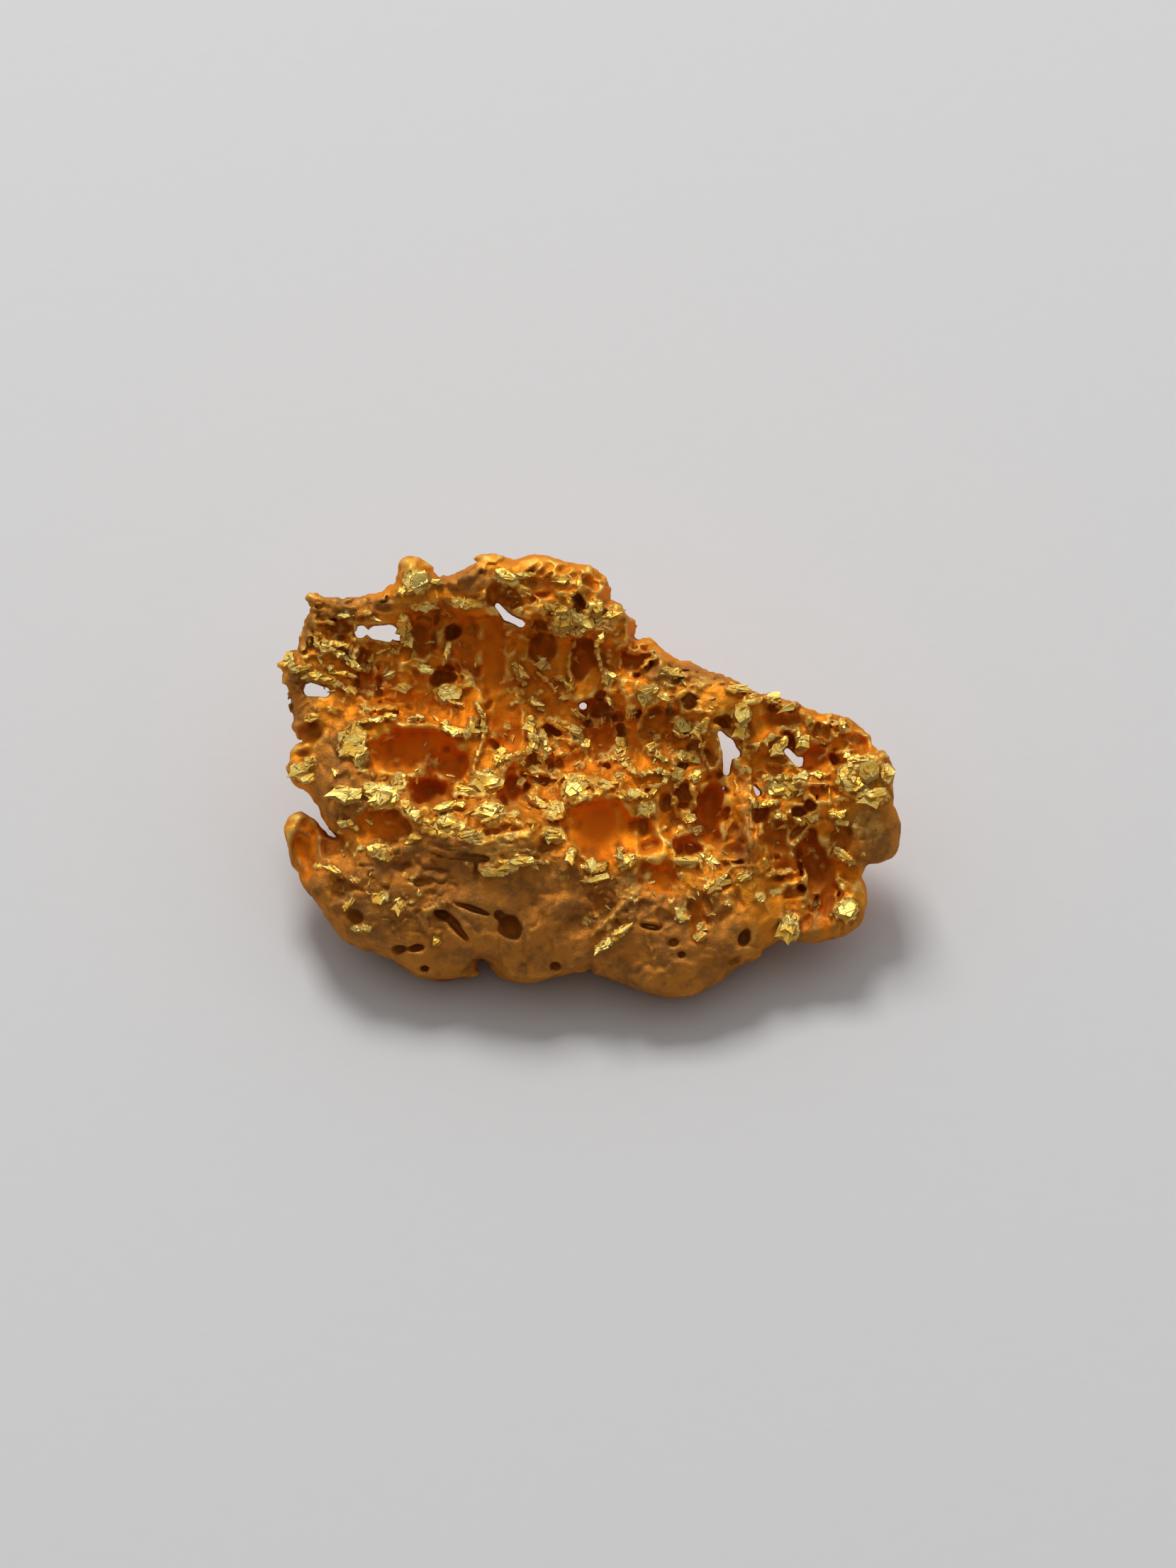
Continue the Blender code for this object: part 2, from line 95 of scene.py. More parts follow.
class Ridge(NamedTuple):
    """A thin raised ridge: its half width, height, brightness, and the places it runs through."""

    half_width: float
    lift: float
    glow: float
    route: Route

    @classmethod
    def along(cls, half_width: float, lift: float, glow: float, *route: float) -> "Ridge":
        """Make a ridge whose places are given as across and up in turn."""
        return cls(half_width, lift, glow, tuple(zip(route[::2], route[1::2])))


class Patch(NamedTuple):
    """An oval region of the face: its middle, half sizes and turn."""

    across: float
    up: float
    half_across: float
    half_up: float
    turn: float = 0.0


class Floor(NamedTuple):
    """A sunken oval of the face: its middle, half sizes and depth, and the size of what folds it."""

    across: float
    up: float
    half_across: float
    half_up: float
    sunk: float
    fold_across: float
    fold_up: float = 0.0

    @property
    def patch(self) -> Patch:
        """Return the oval on its own."""
        return Patch(*self[:4])


class Trait(Enum):
    """What each spot of the surface is marked with, for the finish to read."""

    CAVITY = "cavity"
    RAISED = "raised"
    # painted highlight on ridges, flakes and sheen areas, which are also made glossier
    GLINT = "glint"
    WORN = "worn"
    # painted gold-on-gold reflection: sunken floors painted the reddest
    FLOOR = "floor"
    # painted shade: darkening painted round raised crust and plates, in creases and in listed pits
    DIRT = "dirt"


def laid_out(kind: Callable[..., Any], rows: tuple[tuple[float, ...], ...]) -> tuple[Any, ...]:
    """Make one shape of a kind from every row of numbers."""
    return tuple(kind(*row) for row in rows)


@dataclass(frozen=True)
class Stance:
    """How the nugget's face lies in the frame.

    Attributes:
        lean: Angle in degrees by which the face leans back from lying level.
        origin: Place of the face's middle in the frame, in millimetres.
    """

    lean: float = 35.0
    origin: Triple = (0.016, -0.716, 4.3)

    def matrix(self) -> Matrix:
        """Work out how the face is moved into the frame.

        Returns:
            The matrix from face millimetres to frame metres.
        """
        place = Matrix.Translation(Vector(self.origin))
        turn = Matrix.Rotation(math.radians(self.lean), 4, "X")
        return Matrix.Scale(METRES_PER_MM, 4) @ place @ turn

    def height(self, up: np.ndarray, out: np.ndarray) -> np.ndarray:
        """Return the height in millimetres over the table of places on the face."""
        lean = math.radians(self.lean)
        return up * math.sin(lean) + out * math.cos(lean) + self.origin[2]


def smooth_min(first: np.ndarray, second: np.ndarray, blend: float) -> np.ndarray:
    """Blend two distance fields into their union.

    Args:
        first: One field of distances.
        second: The other field of distances.
        blend: Width of the blended seam, in millimetres.

    Returns:
        The field of the union.
    """
    overlap = np.maximum(blend - np.abs(first - second), 0.0) / blend
    return np.minimum(first, second) - overlap * overlap * blend * 0.25


def eased(share: np.ndarray) -> np.ndarray:
    """Ease a share from 0 to 1 at both ends."""
    return share * share * (3.0 - 2.0 * share)


def turned(x: np.ndarray, y: np.ndarray, turn: float) -> tuple[np.ndarray, np.ndarray]:
    """Measure offsets on the face along and beside a direction.

    Args:
        x: The offsets across.
        y: The offsets up.
        turn: The direction, in degrees from across.

    Returns:
        The offsets along the direction and beside it.
    """
    cos, sin = math.cos(math.radians(turn)), math.sin(math.radians(turn))
    return x * cos + y * sin, y * cos - x * sin


class DistanceField:
    """A block of signed distances in millimetres, negative inside the gold.

    Attributes:
        low: Lowest corner of the block on the face.
        step: Spacing of the samples.
        shape: How many samples lie along each axis.
        values: The distances.
        axes: Where the samples lie along each axis.
    """

    # the distance that stands for anything far from the gold
    FAR = 1.6
    # how quickly the sinking of the front surface fades out under its reach
    SINK_FADE = 2.5

    def __init__(self, low: Triple, high: Triple, step: float) -> None:
        """Make an empty block.

        Args:
            low: Lowest corner of the block on the face.
            high: Highest corner of the block on the face.
            step: Spacing of the samples.
        """
        self.low = np.array(low)
        self.step = step
        self.shape = tuple(math.ceil((end - start) / step) + 1 for start, end in zip(low, high))
        self.values = np.full(self.shape, self.FAR, dtype=np.float32)
        self.axes = [
            (self.low[axis] + step * np.arange(self.shape[axis])).astype(np.float32) for axis in range(3)
        ]

    def window(self, centre: Triple, reach: Triple) -> Optional[tuple[Cut, list[np.ndarray]]]:
        """Pick the samples around a place.

        Args:
            centre: The middle of the window.
            reach: How far the window goes to each side.

        Returns:
            The window's slices and its three broadcastable offsets from the centre, or None
            where the window misses the block.
        """
        cut = []
        offsets = []
        for axis in range(3):
            start = math.floor((centre[axis] - reach[axis] - self.low[axis]) / self.step)
            end = math.ceil((centre[axis] + reach[axis] - self.low[axis]) / self.step) + 1
            start, end = max(start, 0), min(end, self.shape[axis])
            if end <= start:
                return None
            cut.append(slice(start, end))
            form = [1, 1, 1]
            form[axis] = -1
            offsets.append((self.axes[axis][start:end] - np.float32(centre[axis])).reshape(form))
        return tuple(cut), offsets

    def ellipsoid(
        self,
        centre: Triple,
        radii: Triple,
        turn: float,
        margin: float,
        fullness: float = 2.0,
        ripple: Optional[np.ndarray] = None,
    ) -> Measured:
        """Measure an ellipsoid that may be turned in the plane of the face.

        Args:
            centre: Its middle.
            radii: Its three half sizes.
            turn: Its turn in degrees.
            margin: How far round it to measure.
            fullness: 2 for a true ellipsoid, more for one with a fuller rim.
            ripple: How far its sides are drawn in at each column, or None for smooth sides.

        Returns:
            The window's slices and the distances in it, or None outside the block.
        """
        cos, sin = math.cos(math.radians(turn)), math.sin(math.radians(turn))
        wide = math.hypot(radii[0] * cos, radii[1] * sin) + margin
        high = math.hypot(radii[0] * sin, radii[1] * cos) + margin
        picked = self.window(centre, (wide, high, radii[2] + margin))
        if picked is None:
            return None
        cut, (x, y, z) = picked
        along, beside = turned(x, y, turn)
        flat = np.sqrt((along / radii[0]) ** 2 + (beside / radii[1]) ** 2)
        inner = (flat**fullness + np.abs(z / radii[2]) ** fullness) ** (1.0 / fullness)
        outer = np.sqrt(
            (along / radii[0] ** 2) ** 2 + (beside / radii[1] ** 2) ** 2 + (z / radii[2] ** 2) ** 2
        )
        distance = inner * (inner - 1.0) / np.maximum(outer, 1e-4)
        if ripple is not None:
            distance += ripple[cut[:2]] * np.minimum(flat, 1.0)
        return cut, distance

    def add(self, measured: Measured, blend: float) -> None:
        """Blend a measured shape into the gold.

        Args:
            measured: The shape, as `ellipsoid` measures it.
            blend: Width of the seam.
        """
        if measured is not None:
            cut, distance = measured
            self.values[cut] = smooth_min(self.values[cut], distance, blend)

    def carve(self, measured: Measured, blend: float) -> None:
        """Cut a measured shape out of the gold.

        Args:
            measured: The shape, as `ellipsoid` measures it.
            blend: Width of the lip.
        """
        if measured is not None:
            cut, distance = measured
            self.values[cut] = -smooth_min(-self.values[cut], distance, blend)

    def sink(self, depth: np.ndarray, reach: float = 1.0) -> None:
        """Sink the front surface and leave the back.

        Args:
            depth: How far to sink each column.
            reach: How far under the surface this goes.
        """
        front = np.nan_to_num(self.surface(), nan=self.FAR + self.axes[2][-1])
        above = self.axes[2][None, None, :] - front[:, :, None] + reach
        share = np.clip(above * self.SINK_FADE, 0.0, 1.0)
        self.values += depth[:, :, None] * share

    def surface(self, back: bool = False) -> np.ndarray:
        """Find the gold's front or back surface.

        Args:
            back: True for the back surface.

        Returns:
            How far out the surface lies at each column, or NaN beside the gold.
        """
        values = self.values if back else self.values[:, :, ::-1]
        levels = self.axes[2] if back else self.axes[2][::-1]
        inside = values < 0.0
        first = np.argmax(inside, axis=2)
        rows, columns = np.indices(first.shape)
        here = values[rows, columns, first]
        beyond = values[rows, columns, np.maximum(first - 1, 0)]
        share = np.clip(here / np.minimum(here - beyond, -1e-6), 0.0, 1.0)
        outward = -self.step if back else self.step
        return np.where(inside.any(axis=2), levels[first] + outward * share, np.nan)

    def columns(self, places: np.ndarray) -> tuple[np.ndarray, ...]:
        """Find the columns nearest to places.

        Args:
            places: One row of across, up and out for each place.

        Returns:
            The columns' indices across and up.
        """
        nearest = np.round((places[:, :2] - self.low[:2]) / self.step).astype(int)
        return tuple(np.clip(nearest, 0, np.array(self.shape[:2]) - 1).T)

    def level_at(self, surface: np.ndarray, across: float, up: float) -> float:
        """Read how far out a surface lies.

        Args:
            surface: The surface, as `surface` finds it.
            across: The place across the face.
            up: The place up the face.

        Returns:
            How far out the surface lies there, or 0 beside the gold.
        """
        column = min(max(round((across - self.low[0]) / self.step), 0), self.shape[0] - 1)
        row = min(max(round((up - self.low[1]) / self.step), 0), self.shape[1] - 1)
        out = surface[column, row]
        return 0.0 if np.isnan(out) else float(out)

    def sample(self, block: np.ndarray, places: np.ndarray) -> np.ndarray:
        """Read a block of values at places on the face, blending between samples.

        Args:
            block: Values of this field's shape.
            places: One row of across, up and out for each place.

        Returns:
            One value for each place.
        """
        scaled = (places - self.low) / self.step
        base = np.clip(np.floor(scaled).astype(int), 0, np.array(self.shape) - 2)
        share = np.clip(scaled - base, 0.0, 1.0)
        total = np.zeros(len(places))
        for corner in range(8):
            shift = np.array([corner & 1, corner >> 1 & 1, corner >> 2 & 1])
            weight = np.prod(np.where(shift == 1, share, 1.0 - share), axis=1)
            index = base + shift
            total += weight * block[index[:, 0], index[:, 1], index[:, 2]]
        return total

    def slope(self, places: np.ndarray, reach: float) -> np.ndarray:
        """Measure which way the surface faces.

        Args:
            places: One row of across, up and out for each place.
            reach: How far to each side of a place to measure.

        Returns:
            One outward direction for each place.
        """
        parts = []
        for axis in range(3):
            shift = np.zeros(3)
            shift[axis] = reach
            parts.append(self.sample(self.values, places + shift) - self.sample(self.values, places - shift))
        slopes = np.stack(parts, axis=1)
        return slopes / np.maximum(np.linalg.norm(slopes, axis=1, keepdims=True), 1e-6)

    def noise(self, cells: Triple, seed: int, cut: Optional[Cut] = None) -> np.ndarray:
        """Make smooth random values between -1 and 1 over the block or a window of it.

        Args:
            cells: Distances over which the values change, across, up and out.
            seed: Seed of the random values.
            cut: The window's slices, or None for the whole block.

        Returns:
            The values.
        """
        shape = self.shape if cut is None else self.values[cut].shape
        counts = [int(size * self.step / cell) + 3 for size, cell in zip(shape, cells)]
        block = np.random.default_rng(seed).uniform(-1.0, 1.0, counts).astype(np.float32)
        for axis in range(3):
            place = np.arange(shape[axis]) * (self.step / cells[axis])
            low = place.astype(int)
            form = [1, 1, 1]
            form[axis] = -1
            share = eased((place - low).astype(np.float32)).reshape(form)
            block = np.take(block, low, axis) * (1.0 - share) + np.take(block, low + 1, axis) * share
        return block

    def spread(self, patch: Patch, fade: float) -> np.ndarray:
        """Lay out a patch over the columns of the field.

        Args:
            patch: The patch.
            fade: Share of its size over which it fades out.

        Returns:
            One share from 0 to 1 for each column.
        """
        x = self.axes[0][:, None] - patch.across
        y = self.axes[1][None, :] - patch.up
        along, beside = turned(x, y, patch.turn)
        away = np.hypot(along / patch.half_across, beside / patch.half_up)
        return eased(np.clip((1.0 + fade - away) / (2.0 * fade), 0.0, 1.0))


def blurred(block: np.ndarray, reach: int) -> np.ndarray:
    """Average a block over a cube around each sample.

    Args:
        block: The block.
        reach: How many samples the cube goes to each side.

    Returns:
        The averaged block.
    """
    for axis in range(3):
        pad = [(0, 0)] * 3
        pad[axis] = (reach + 1, reach)
        total = np.cumsum(np.pad(block, pad, mode="edge"), axis=axis, dtype=np.float32)
        size = block.shape[axis]
        high = np.take(total, np.arange(2 * reach + 1, 2 * reach + 1 + size), axis)
        low = np.take(total, np.arange(0, size), axis)
        block = (high - low) / (2 * reach + 1)
    return block


def curved(route: Route, spacing: float) -> list[tuple[float, float]]:
    """Set places along a smooth curve through a route.

    Args:
        route: The places that the curve runs through.
        spacing: Largest distance between the set places.

    Returns:
        The places.
    """
    points = [np.array(place) for place in (route[0], *route, route[-1])]
    places = [tuple(route[0])]
    for before, start, end, after in zip(points, points[1:], points[2:], points[3:]):
        steps = max(1, math.ceil(float(np.linalg.norm(end - start)) / spacing))
        for count in range(1, steps + 1):
            t = count / steps
            place = 0.5 * (
                2.0 * start
                + (end - before) * t
                + (2.0 * before - 5.0 * start + 4.0 * end - after) * t * t
                + (3.0 * start - before - 3.0 * end + after) * t * t * t
            )
            places.append((float(place[0]), float(place[1])))
    return places


def nearest_cells(block: DistanceField, cell: float, wander: float, seed: int) -> tuple[np.ndarray, ...]:
    """Share the columns of a field out among cells with random middles.

    Args:
        block: The field.
        cell: Size of a cell, in millimetres.
        wander: How far the borders wander, as a share of a cell.
        seed: Seed of the layout.

    Returns:
        For each column: how far away the nearest and the second nearest middle are, how far the
        nearest lies across and up from the column, all in cells, and three draws of that cell.
    """
    warp = [block.noise((cell * 0.8, cell * 0.8, 1.0), seed + k, LEVEL)[:, :, 0] for k in (1, 2)]
    x = block.axes[0][:, None] / cell + wander * warp[0] + CELLS_IN
    y = block.axes[1][None, :] / cell + wander * warp[1] + CELLS_IN
    draws = np.random.default_rng(seed).uniform(0.0, 1.0, (5, CELLS_DRAWN, CELLS_DRAWN))
    draws = draws.astype(np.float32)
    column, row = np.floor(x).astype(int), np.floor(y).astype(int)
    found = np.zeros((7, *x.shape), dtype=np.float32)
    # farther away than any middle
    found[:2] = CELLS_DRAWN
    # the middles of the cell itself and of the eight around it, each kept off the cell's border
    for shift in range(9):
        i, j = column + shift % 3 - 1, row + shift // 3 - 1
        drawn = draws[:, i % CELLS_DRAWN, j % CELLS_DRAWN]
        right, up = i + 0.1 + 0.8 * drawn[3] - x, j + 0.1 + 0.8 * drawn[4] - y
        away = np.hypot(right, up)
        nearer = away < found[0]
        found[1] = np.where(nearer, found[0], np.minimum(found[1], away))
        for index, value in ((0, away), (2, right), (3, up), (4, drawn[0]), (5, drawn[1]), (6, drawn[2])):
            found[index] = np.where(nearer, value, found[index])
    return tuple(found)


def creased(block: DistanceField, across: float, up: float, width: float, seed: int) -> np.ndarray:
    """Wind fine creases over the columns of a field.

    Args:
        block: The field.
        across: How far apart the creases lie across the face, in millimetres.
        up: How far apart they lie up the face.
        width: How wide a crease is, as a share of the noise that it winds through.
        seed: Seed of their course.

    Returns:
        One share from 0 to 1 for each column, 1 at the bottom of a crease.
    """
    finer = 0.6 * block.noise((0.45 * across, 0.5 * up, 1.0), seed + 1, LEVEL)
    wave = block.noise((across, up, 1.0), seed, LEVEL) + finer
    return eased(np.clip(1.0 - np.abs(wave[:, :, 0]) / width, 0.0, 1.0))


@dataclass(frozen=True)
class BodyForm:
    """The nugget's mass: lumps fused inside its outline and worn flat where it stands.

    Attributes:
        outline: The outline seen straight at the face, clockwise from the upper left horn.
        lumps: The bosses that make the mass.
        lump_blend: Width of the seams between lumps.
        fullness: How full the lumps' rims are, from 2 for true ellipsoids.
        rim_blend: Width over which the rim rolls over to the sides.
        rim_swell: How much wider than the outline the mass is cut, to make up for what the roll takes.
        flat_blend: Width over which a worn flat rolls up to the sides.
        crown: Height over the table that nothing on the back rim stands above.
        crown_blend: Width over which the rim rolls over to that height.
    """

    outline: tuple[tuple[float, float], ...] = (
        (-8.03, 5.27), (-7.9, 5.4), (-7.65, 5.4), (-7.45, 5.25), (-6.65, 5.2), (-6.4, 5.34), (-5.8, 5.4),
        (-5.65, 5.62), (-5.43, 5.75), (-5.37, 6.04), (-5.43, 6.26), (-5.3, 6.42), (-5.09, 6.48),
        (-4.81, 6.44), (-4.6, 6.3), (-4.2, 5.86), (-3.95, 5.8), (-3.7, 5.96), (-3.13, 6.2), (-3.07, 6.32),
        (-3.23, 6.4), (-3.2, 6.52), (-3, 6.58), (-2.7, 6.54), (-2.09, 6.26), (-1.9, 6.38), (-1.5, 6.51),
        (-1.17, 6.5), (-0.37, 6.26), (0.03, 6.2), (0.3, 6.06), (0.5, 5.82), (0.63, 5.52), (0.65, 5.24),
        (1.27, 4.56), (1.29, 4.4), (1.17, 4.2), (1.31, 4.05), (1.6, 4.06), (1.75, 4.14), (1.95, 4.06),
        (2.15, 3.9), (2.49, 3.46), (2.65, 3.4), (2.8, 3.44), (3.03, 3.4), (4, 3), (4.1, 2.88), (4.4, 2.8),
        (4.67, 2.66), (5.1, 2.66), (6.07, 2.34), (6.35, 2.2), (6.55, 2), (7.2, 2), (7.47, 1.9), (8.03, 1.56),
        (8.13, 1.4), (8.17, 1.2), (8.28, 1.06), (8.48, 1.06), (8.73, 0.68), (8.81, 0.28), (8.79, -0.44),
        (8.93, -1.2), (8.87, -1.52), (8.71, -1.9), (8.55, -2.08), (8.19, -2.22), (7.91, -2.24),
        (7.81, -2.36), (7.75, -2.6), (7.97, -3), (7.95, -3.4), (7.63, -4.03), (7.35, -4.27), (6.6, -4.55),
        (6.2, -4.61), (5.75, -4.56), (5.55, -4.47), (5.39, -4.2), (4.6, -4.9), (3.9, -5.32), (3.55, -5.7),
        (3, -5.94), (2.5, -6), (1.6, -5.94), (1.33, -5.88), (0.15, -5.42), (0.08, -5.18), (-0.05, -5.28),
        (-0.4, -5.38), (-1.17, -5.5), (-1.5, -5.62), (-1.97, -5.66), (-2.33, -5.6), (-2.5, -5.44),
        (-2.73, -5), (-3, -4.84), (-3.17, -4.96), (-3.13, -5.24), (-2.89, -5.54), (-3.05, -5.66),
        (-3.4, -5.7), (-3.85, -5.65), (-4.5, -5.48), (-5.4, -5.08), (-5.6, -4.92), (-6.33, -4.72),
        (-6.85, -4.28), (-7.45, -3.52), (-8, -3.06), (-8.17, -2.8), (-8.33, -2.4), (-8.63, -1.24),
        (-8.55, -0.92), (-8.4, -0.76), (-8.13, -0.66), (-7.69, -0.96), (-7.5, -1.25), (-7.2, -1.5),
        (-7.49, -1), (-7.73, -0.4), (-7.89, -0.18), (-8.17, -0.08), (-8.37, 0.08), (-8.55, 0.46),
        (-8.39, 0.6), (-8.37, 0.88), (-8.23, 1.04), (-8, 1.08), (-7.85, 1.2), (-8.15, 1.34), (-8.35, 1.6),
        (-8.37, 1.96), (-8.55, 2.24), (-8.65, 2.52), (-8.79, 3.24), (-8.89, 3.42), (-8.77, 3.56),
        (-8.25, 3.8), (-8.05, 4.68), (-7.87, 4.84), (-7.89, 5.16),
    )
    lumps: tuple[Lump, ...] = laid_out(Lump, (
        # the thin shelf at the upper left
        (-7.6, 4.6, -0.55, -1.75, 1.5, 1.1), (-6.2, 4.9, -0.45, -1.7, 1.7, 0.8),
        (-7.9, 3.2, -0.5, -1.8, 1.2, 1), (-6.8, 3.2, -0.65, -2.2, 1.5, 1.5),
        (-7.9, 1.9, -0.8, -2.2, 0.9, 0.9), (-5.4, 3.6, -0.8, -2.6, 1.7, 1.7),
        (-4.9, 5.7, -0.2, -1.5, 0.9, 1), (-3.6, 5.6, -0.3, -1.9, 1.3, 0.9),
        # the high back rim
        (-2.6, 5.8, -0.1, -2.1, 1.3, 0.95), (-1.4, 5.5, 0.1, -2.4, 1.5, 1.25),
        (-0.2, 5.1, 0.1, -2.6, 1.3, 1.4), (0.6, 4.4, 0, -2.8, 1.1, 1.1),
        # the sunken, spongy middle
        (-3.8, 2.8, -0.9, -3.4, 2.2, 2.3), (-2, 3.2, -0.9, -3.6, 2.2, 2.4), (0, 3, -0.6, -3.8, 2, 2),
        (-2.6, 1, -0.5, -4.4, 2.4, 1.9), (0.4, 1.2, -0.35, -4.6, 2.2, 1.9),
        # the left wall and the flap below the left notch
        (-7.2, 0.9, -0.25, -2.5, 1.3, 1.3), (-6.6, -0.4, 0.35, -2.9, 1.4, 1.4),
        (-8, 0.5, -0.7, -1.9, 0.75, 0.7), (-8.1, -1.6, -0.5, -1.9, 0.75, 1.2, 8),
        (-7.6, -2.6, -0.2, -2.1, 1, 1.2, 20), (-6.7, -3.3, 0.35, -1.9, 1.3, 1.5, 30),
        # the long crest and the smooth wall in front of it
        (-5.3, 0.9, 0.15, -3.6, 1.9, 1.4), (-4.9, -1.2, 0.95, -3.6, 1.9, 1.3),
        (-2.6, -1.5, 1.65, -3.8, 1.9, 1.15), (-5.3, -3.1, 0.95, -2.7, 1.9, 1.9),
        (-4.2, -4.4, 0.5, -2.05, 1.7, 1.4), (-2.3, -3.4, 1.35, -2.4, 1.9, 1.9),
        (-1.5, -4.5, 0.95, -1.7, 1.5, 1.35), (-0.6, -2.9, 1.1, -2.8, 1.4, 1.6),
        # the swollen lower front, right of the middle
        (0.3, -1.2, 0.75, -4.1, 1.6, 1.6), (2.2, -4.4, 0.95, -2, 2.2, 1.75),
        (1.4, -3.2, 0.95, -2.6, 1.7, 1.5), (3.9, -4.1, 0.75, -1.9, 1.5, 1.5, 35),
        (3, -2.4, 0.65, -3, 1.9, 1.6), (0.15, -4.5, 0.8, -1.6, 1.2, 1.02),
        # the ridge that runs down to the right from the back rim
        (2, 0.2, 0.25, -4.4, 1.8, 1.6), (1.5, 2.6, 0.25, -3.2, 1.4, 1.5),
        (3, 2.3, 0.3, -2.9, 1.7, 1.25, -18), (4.2, 1.4, 0.2, -2.6, 1.5, 1.6),
        (3.9, -0.6, 0.35, -3.2, 1.6, 1.8), (5, -2.4, 0.5, -2.7, 1.5, 1.7),
        # the flat right wing
        (5.7, 1.35, 0.15, -1.9, 1.6, 1.3, -10), (5.9, -0.4, 0.3, -2.1, 1.6, 1.4),
        (7.2, 1, 0.25, -1.7, 1.2, 1.15), (7.9, 0.3, 0.4, -1.5, 1.02, 1.05),
        (8, -1.3, 0.05, -1.8, 0.95, 1.05), (6.7, -1.3, 0.15, -2.1, 1.3, 1.4),
        (6.9, -3.2, 0.1, -1.7, 1.25, 1.45), (6.1, -3.6, 0.2, -1.7, 1.15, 1.1), (5.1, -3.6, 0.2, -2.2, 1, 1),
        # the hidden mass and the back feet
        (-2.6, -1, 0, -4, 3.4, 2.4), (1.6, -1, 0, -3.9, 3.2, 2.3), (-2.4, 0.5, -2, -5.6, 1.5, 1.5),
        (2.3, 0.9, -2, -5.85, 1.6, 1.5), (-0.2, 1.6, -1.5, -5.3, 2.2, 1.8),
    ))
    lump_blend: float = 0.5
    fullness: float = 2.7
    rim_blend: float = 0.6
    rim_swell: float = 0.07
    flat_blend: float = 0.06
    crown: float = 7.82
    crown_blend: float = 0.2

    def outline_distance(self, block: DistanceField) -> np.ndarray:
        """Measure how far places on the face lie outside the outline.

        Args:
            block: The field whose places are measured.

        Returns:
            One signed distance for each column of the field, negative inside the outline.
        """
        across = block.axes[0][:, None]
        up = block.axes[1][None, :]
        nearest = np.full((block.shape[0], block.shape[1]), np.inf, dtype=np.float32)
        inside = np.zeros(nearest.shape, dtype=bool)
        corners = self.outline
        for (x0, y0), (x1, y1) in zip(corners, corners[1:] + corners[:1]):
            dx, dy = x1 - x0, y1 - y0
            share = np.clip(((across - x0) * dx + (up - y0) * dy) / (dx * dx + dy * dy), 0.0, 1.0)
            away = np.hypot(across - x0 - share * dx, up - y0 - share * dy)
            nearest = np.minimum(nearest, away)
            if y0 != y1:
                crosses = (up > min(y0, y1)) & (up <= max(y0, y1))
                inside ^= crosses & (across < x0 + (up - y0) * dx / dy)
        return np.where(inside, -nearest, nearest)

    def build(self, block: DistanceField) -> None:
        """Fill a field with the nugget's mass.

        Args:
            block: The field.
        """
        for lump in self.lumps:
            centre = (lump.across, lump.up, (lump.front + lump.back) / 2.0)
            radii = (lump.half_across, lump.half_up, (lump.front - lump.back) / 2.0)
            block.add(block.ellipsoid(centre, radii, lump.turn, 1.0, self.fullness), self.lump_blend)
        rim = self.outline_distance(block)[:, :, None] - self.rim_swell
        block.values = -smooth_min(-block.values, -rim, self.rim_blend)

    def rest(self, block: DistanceField, stance: Stance) -> None:
        """Cut the worn flats at table height, and wear the back rim down.

        Args:
            block: The field to cut.
            stance: How the face lies.
        """
        height = stance.height(block.axes[1][None, :, None], block.axes[2][None, None, :])
        block.values = -smooth_min(-block.values, height, self.flat_blend)
        block.values = -smooth_min(-block.values, self.crown - height, self.crown_blend)


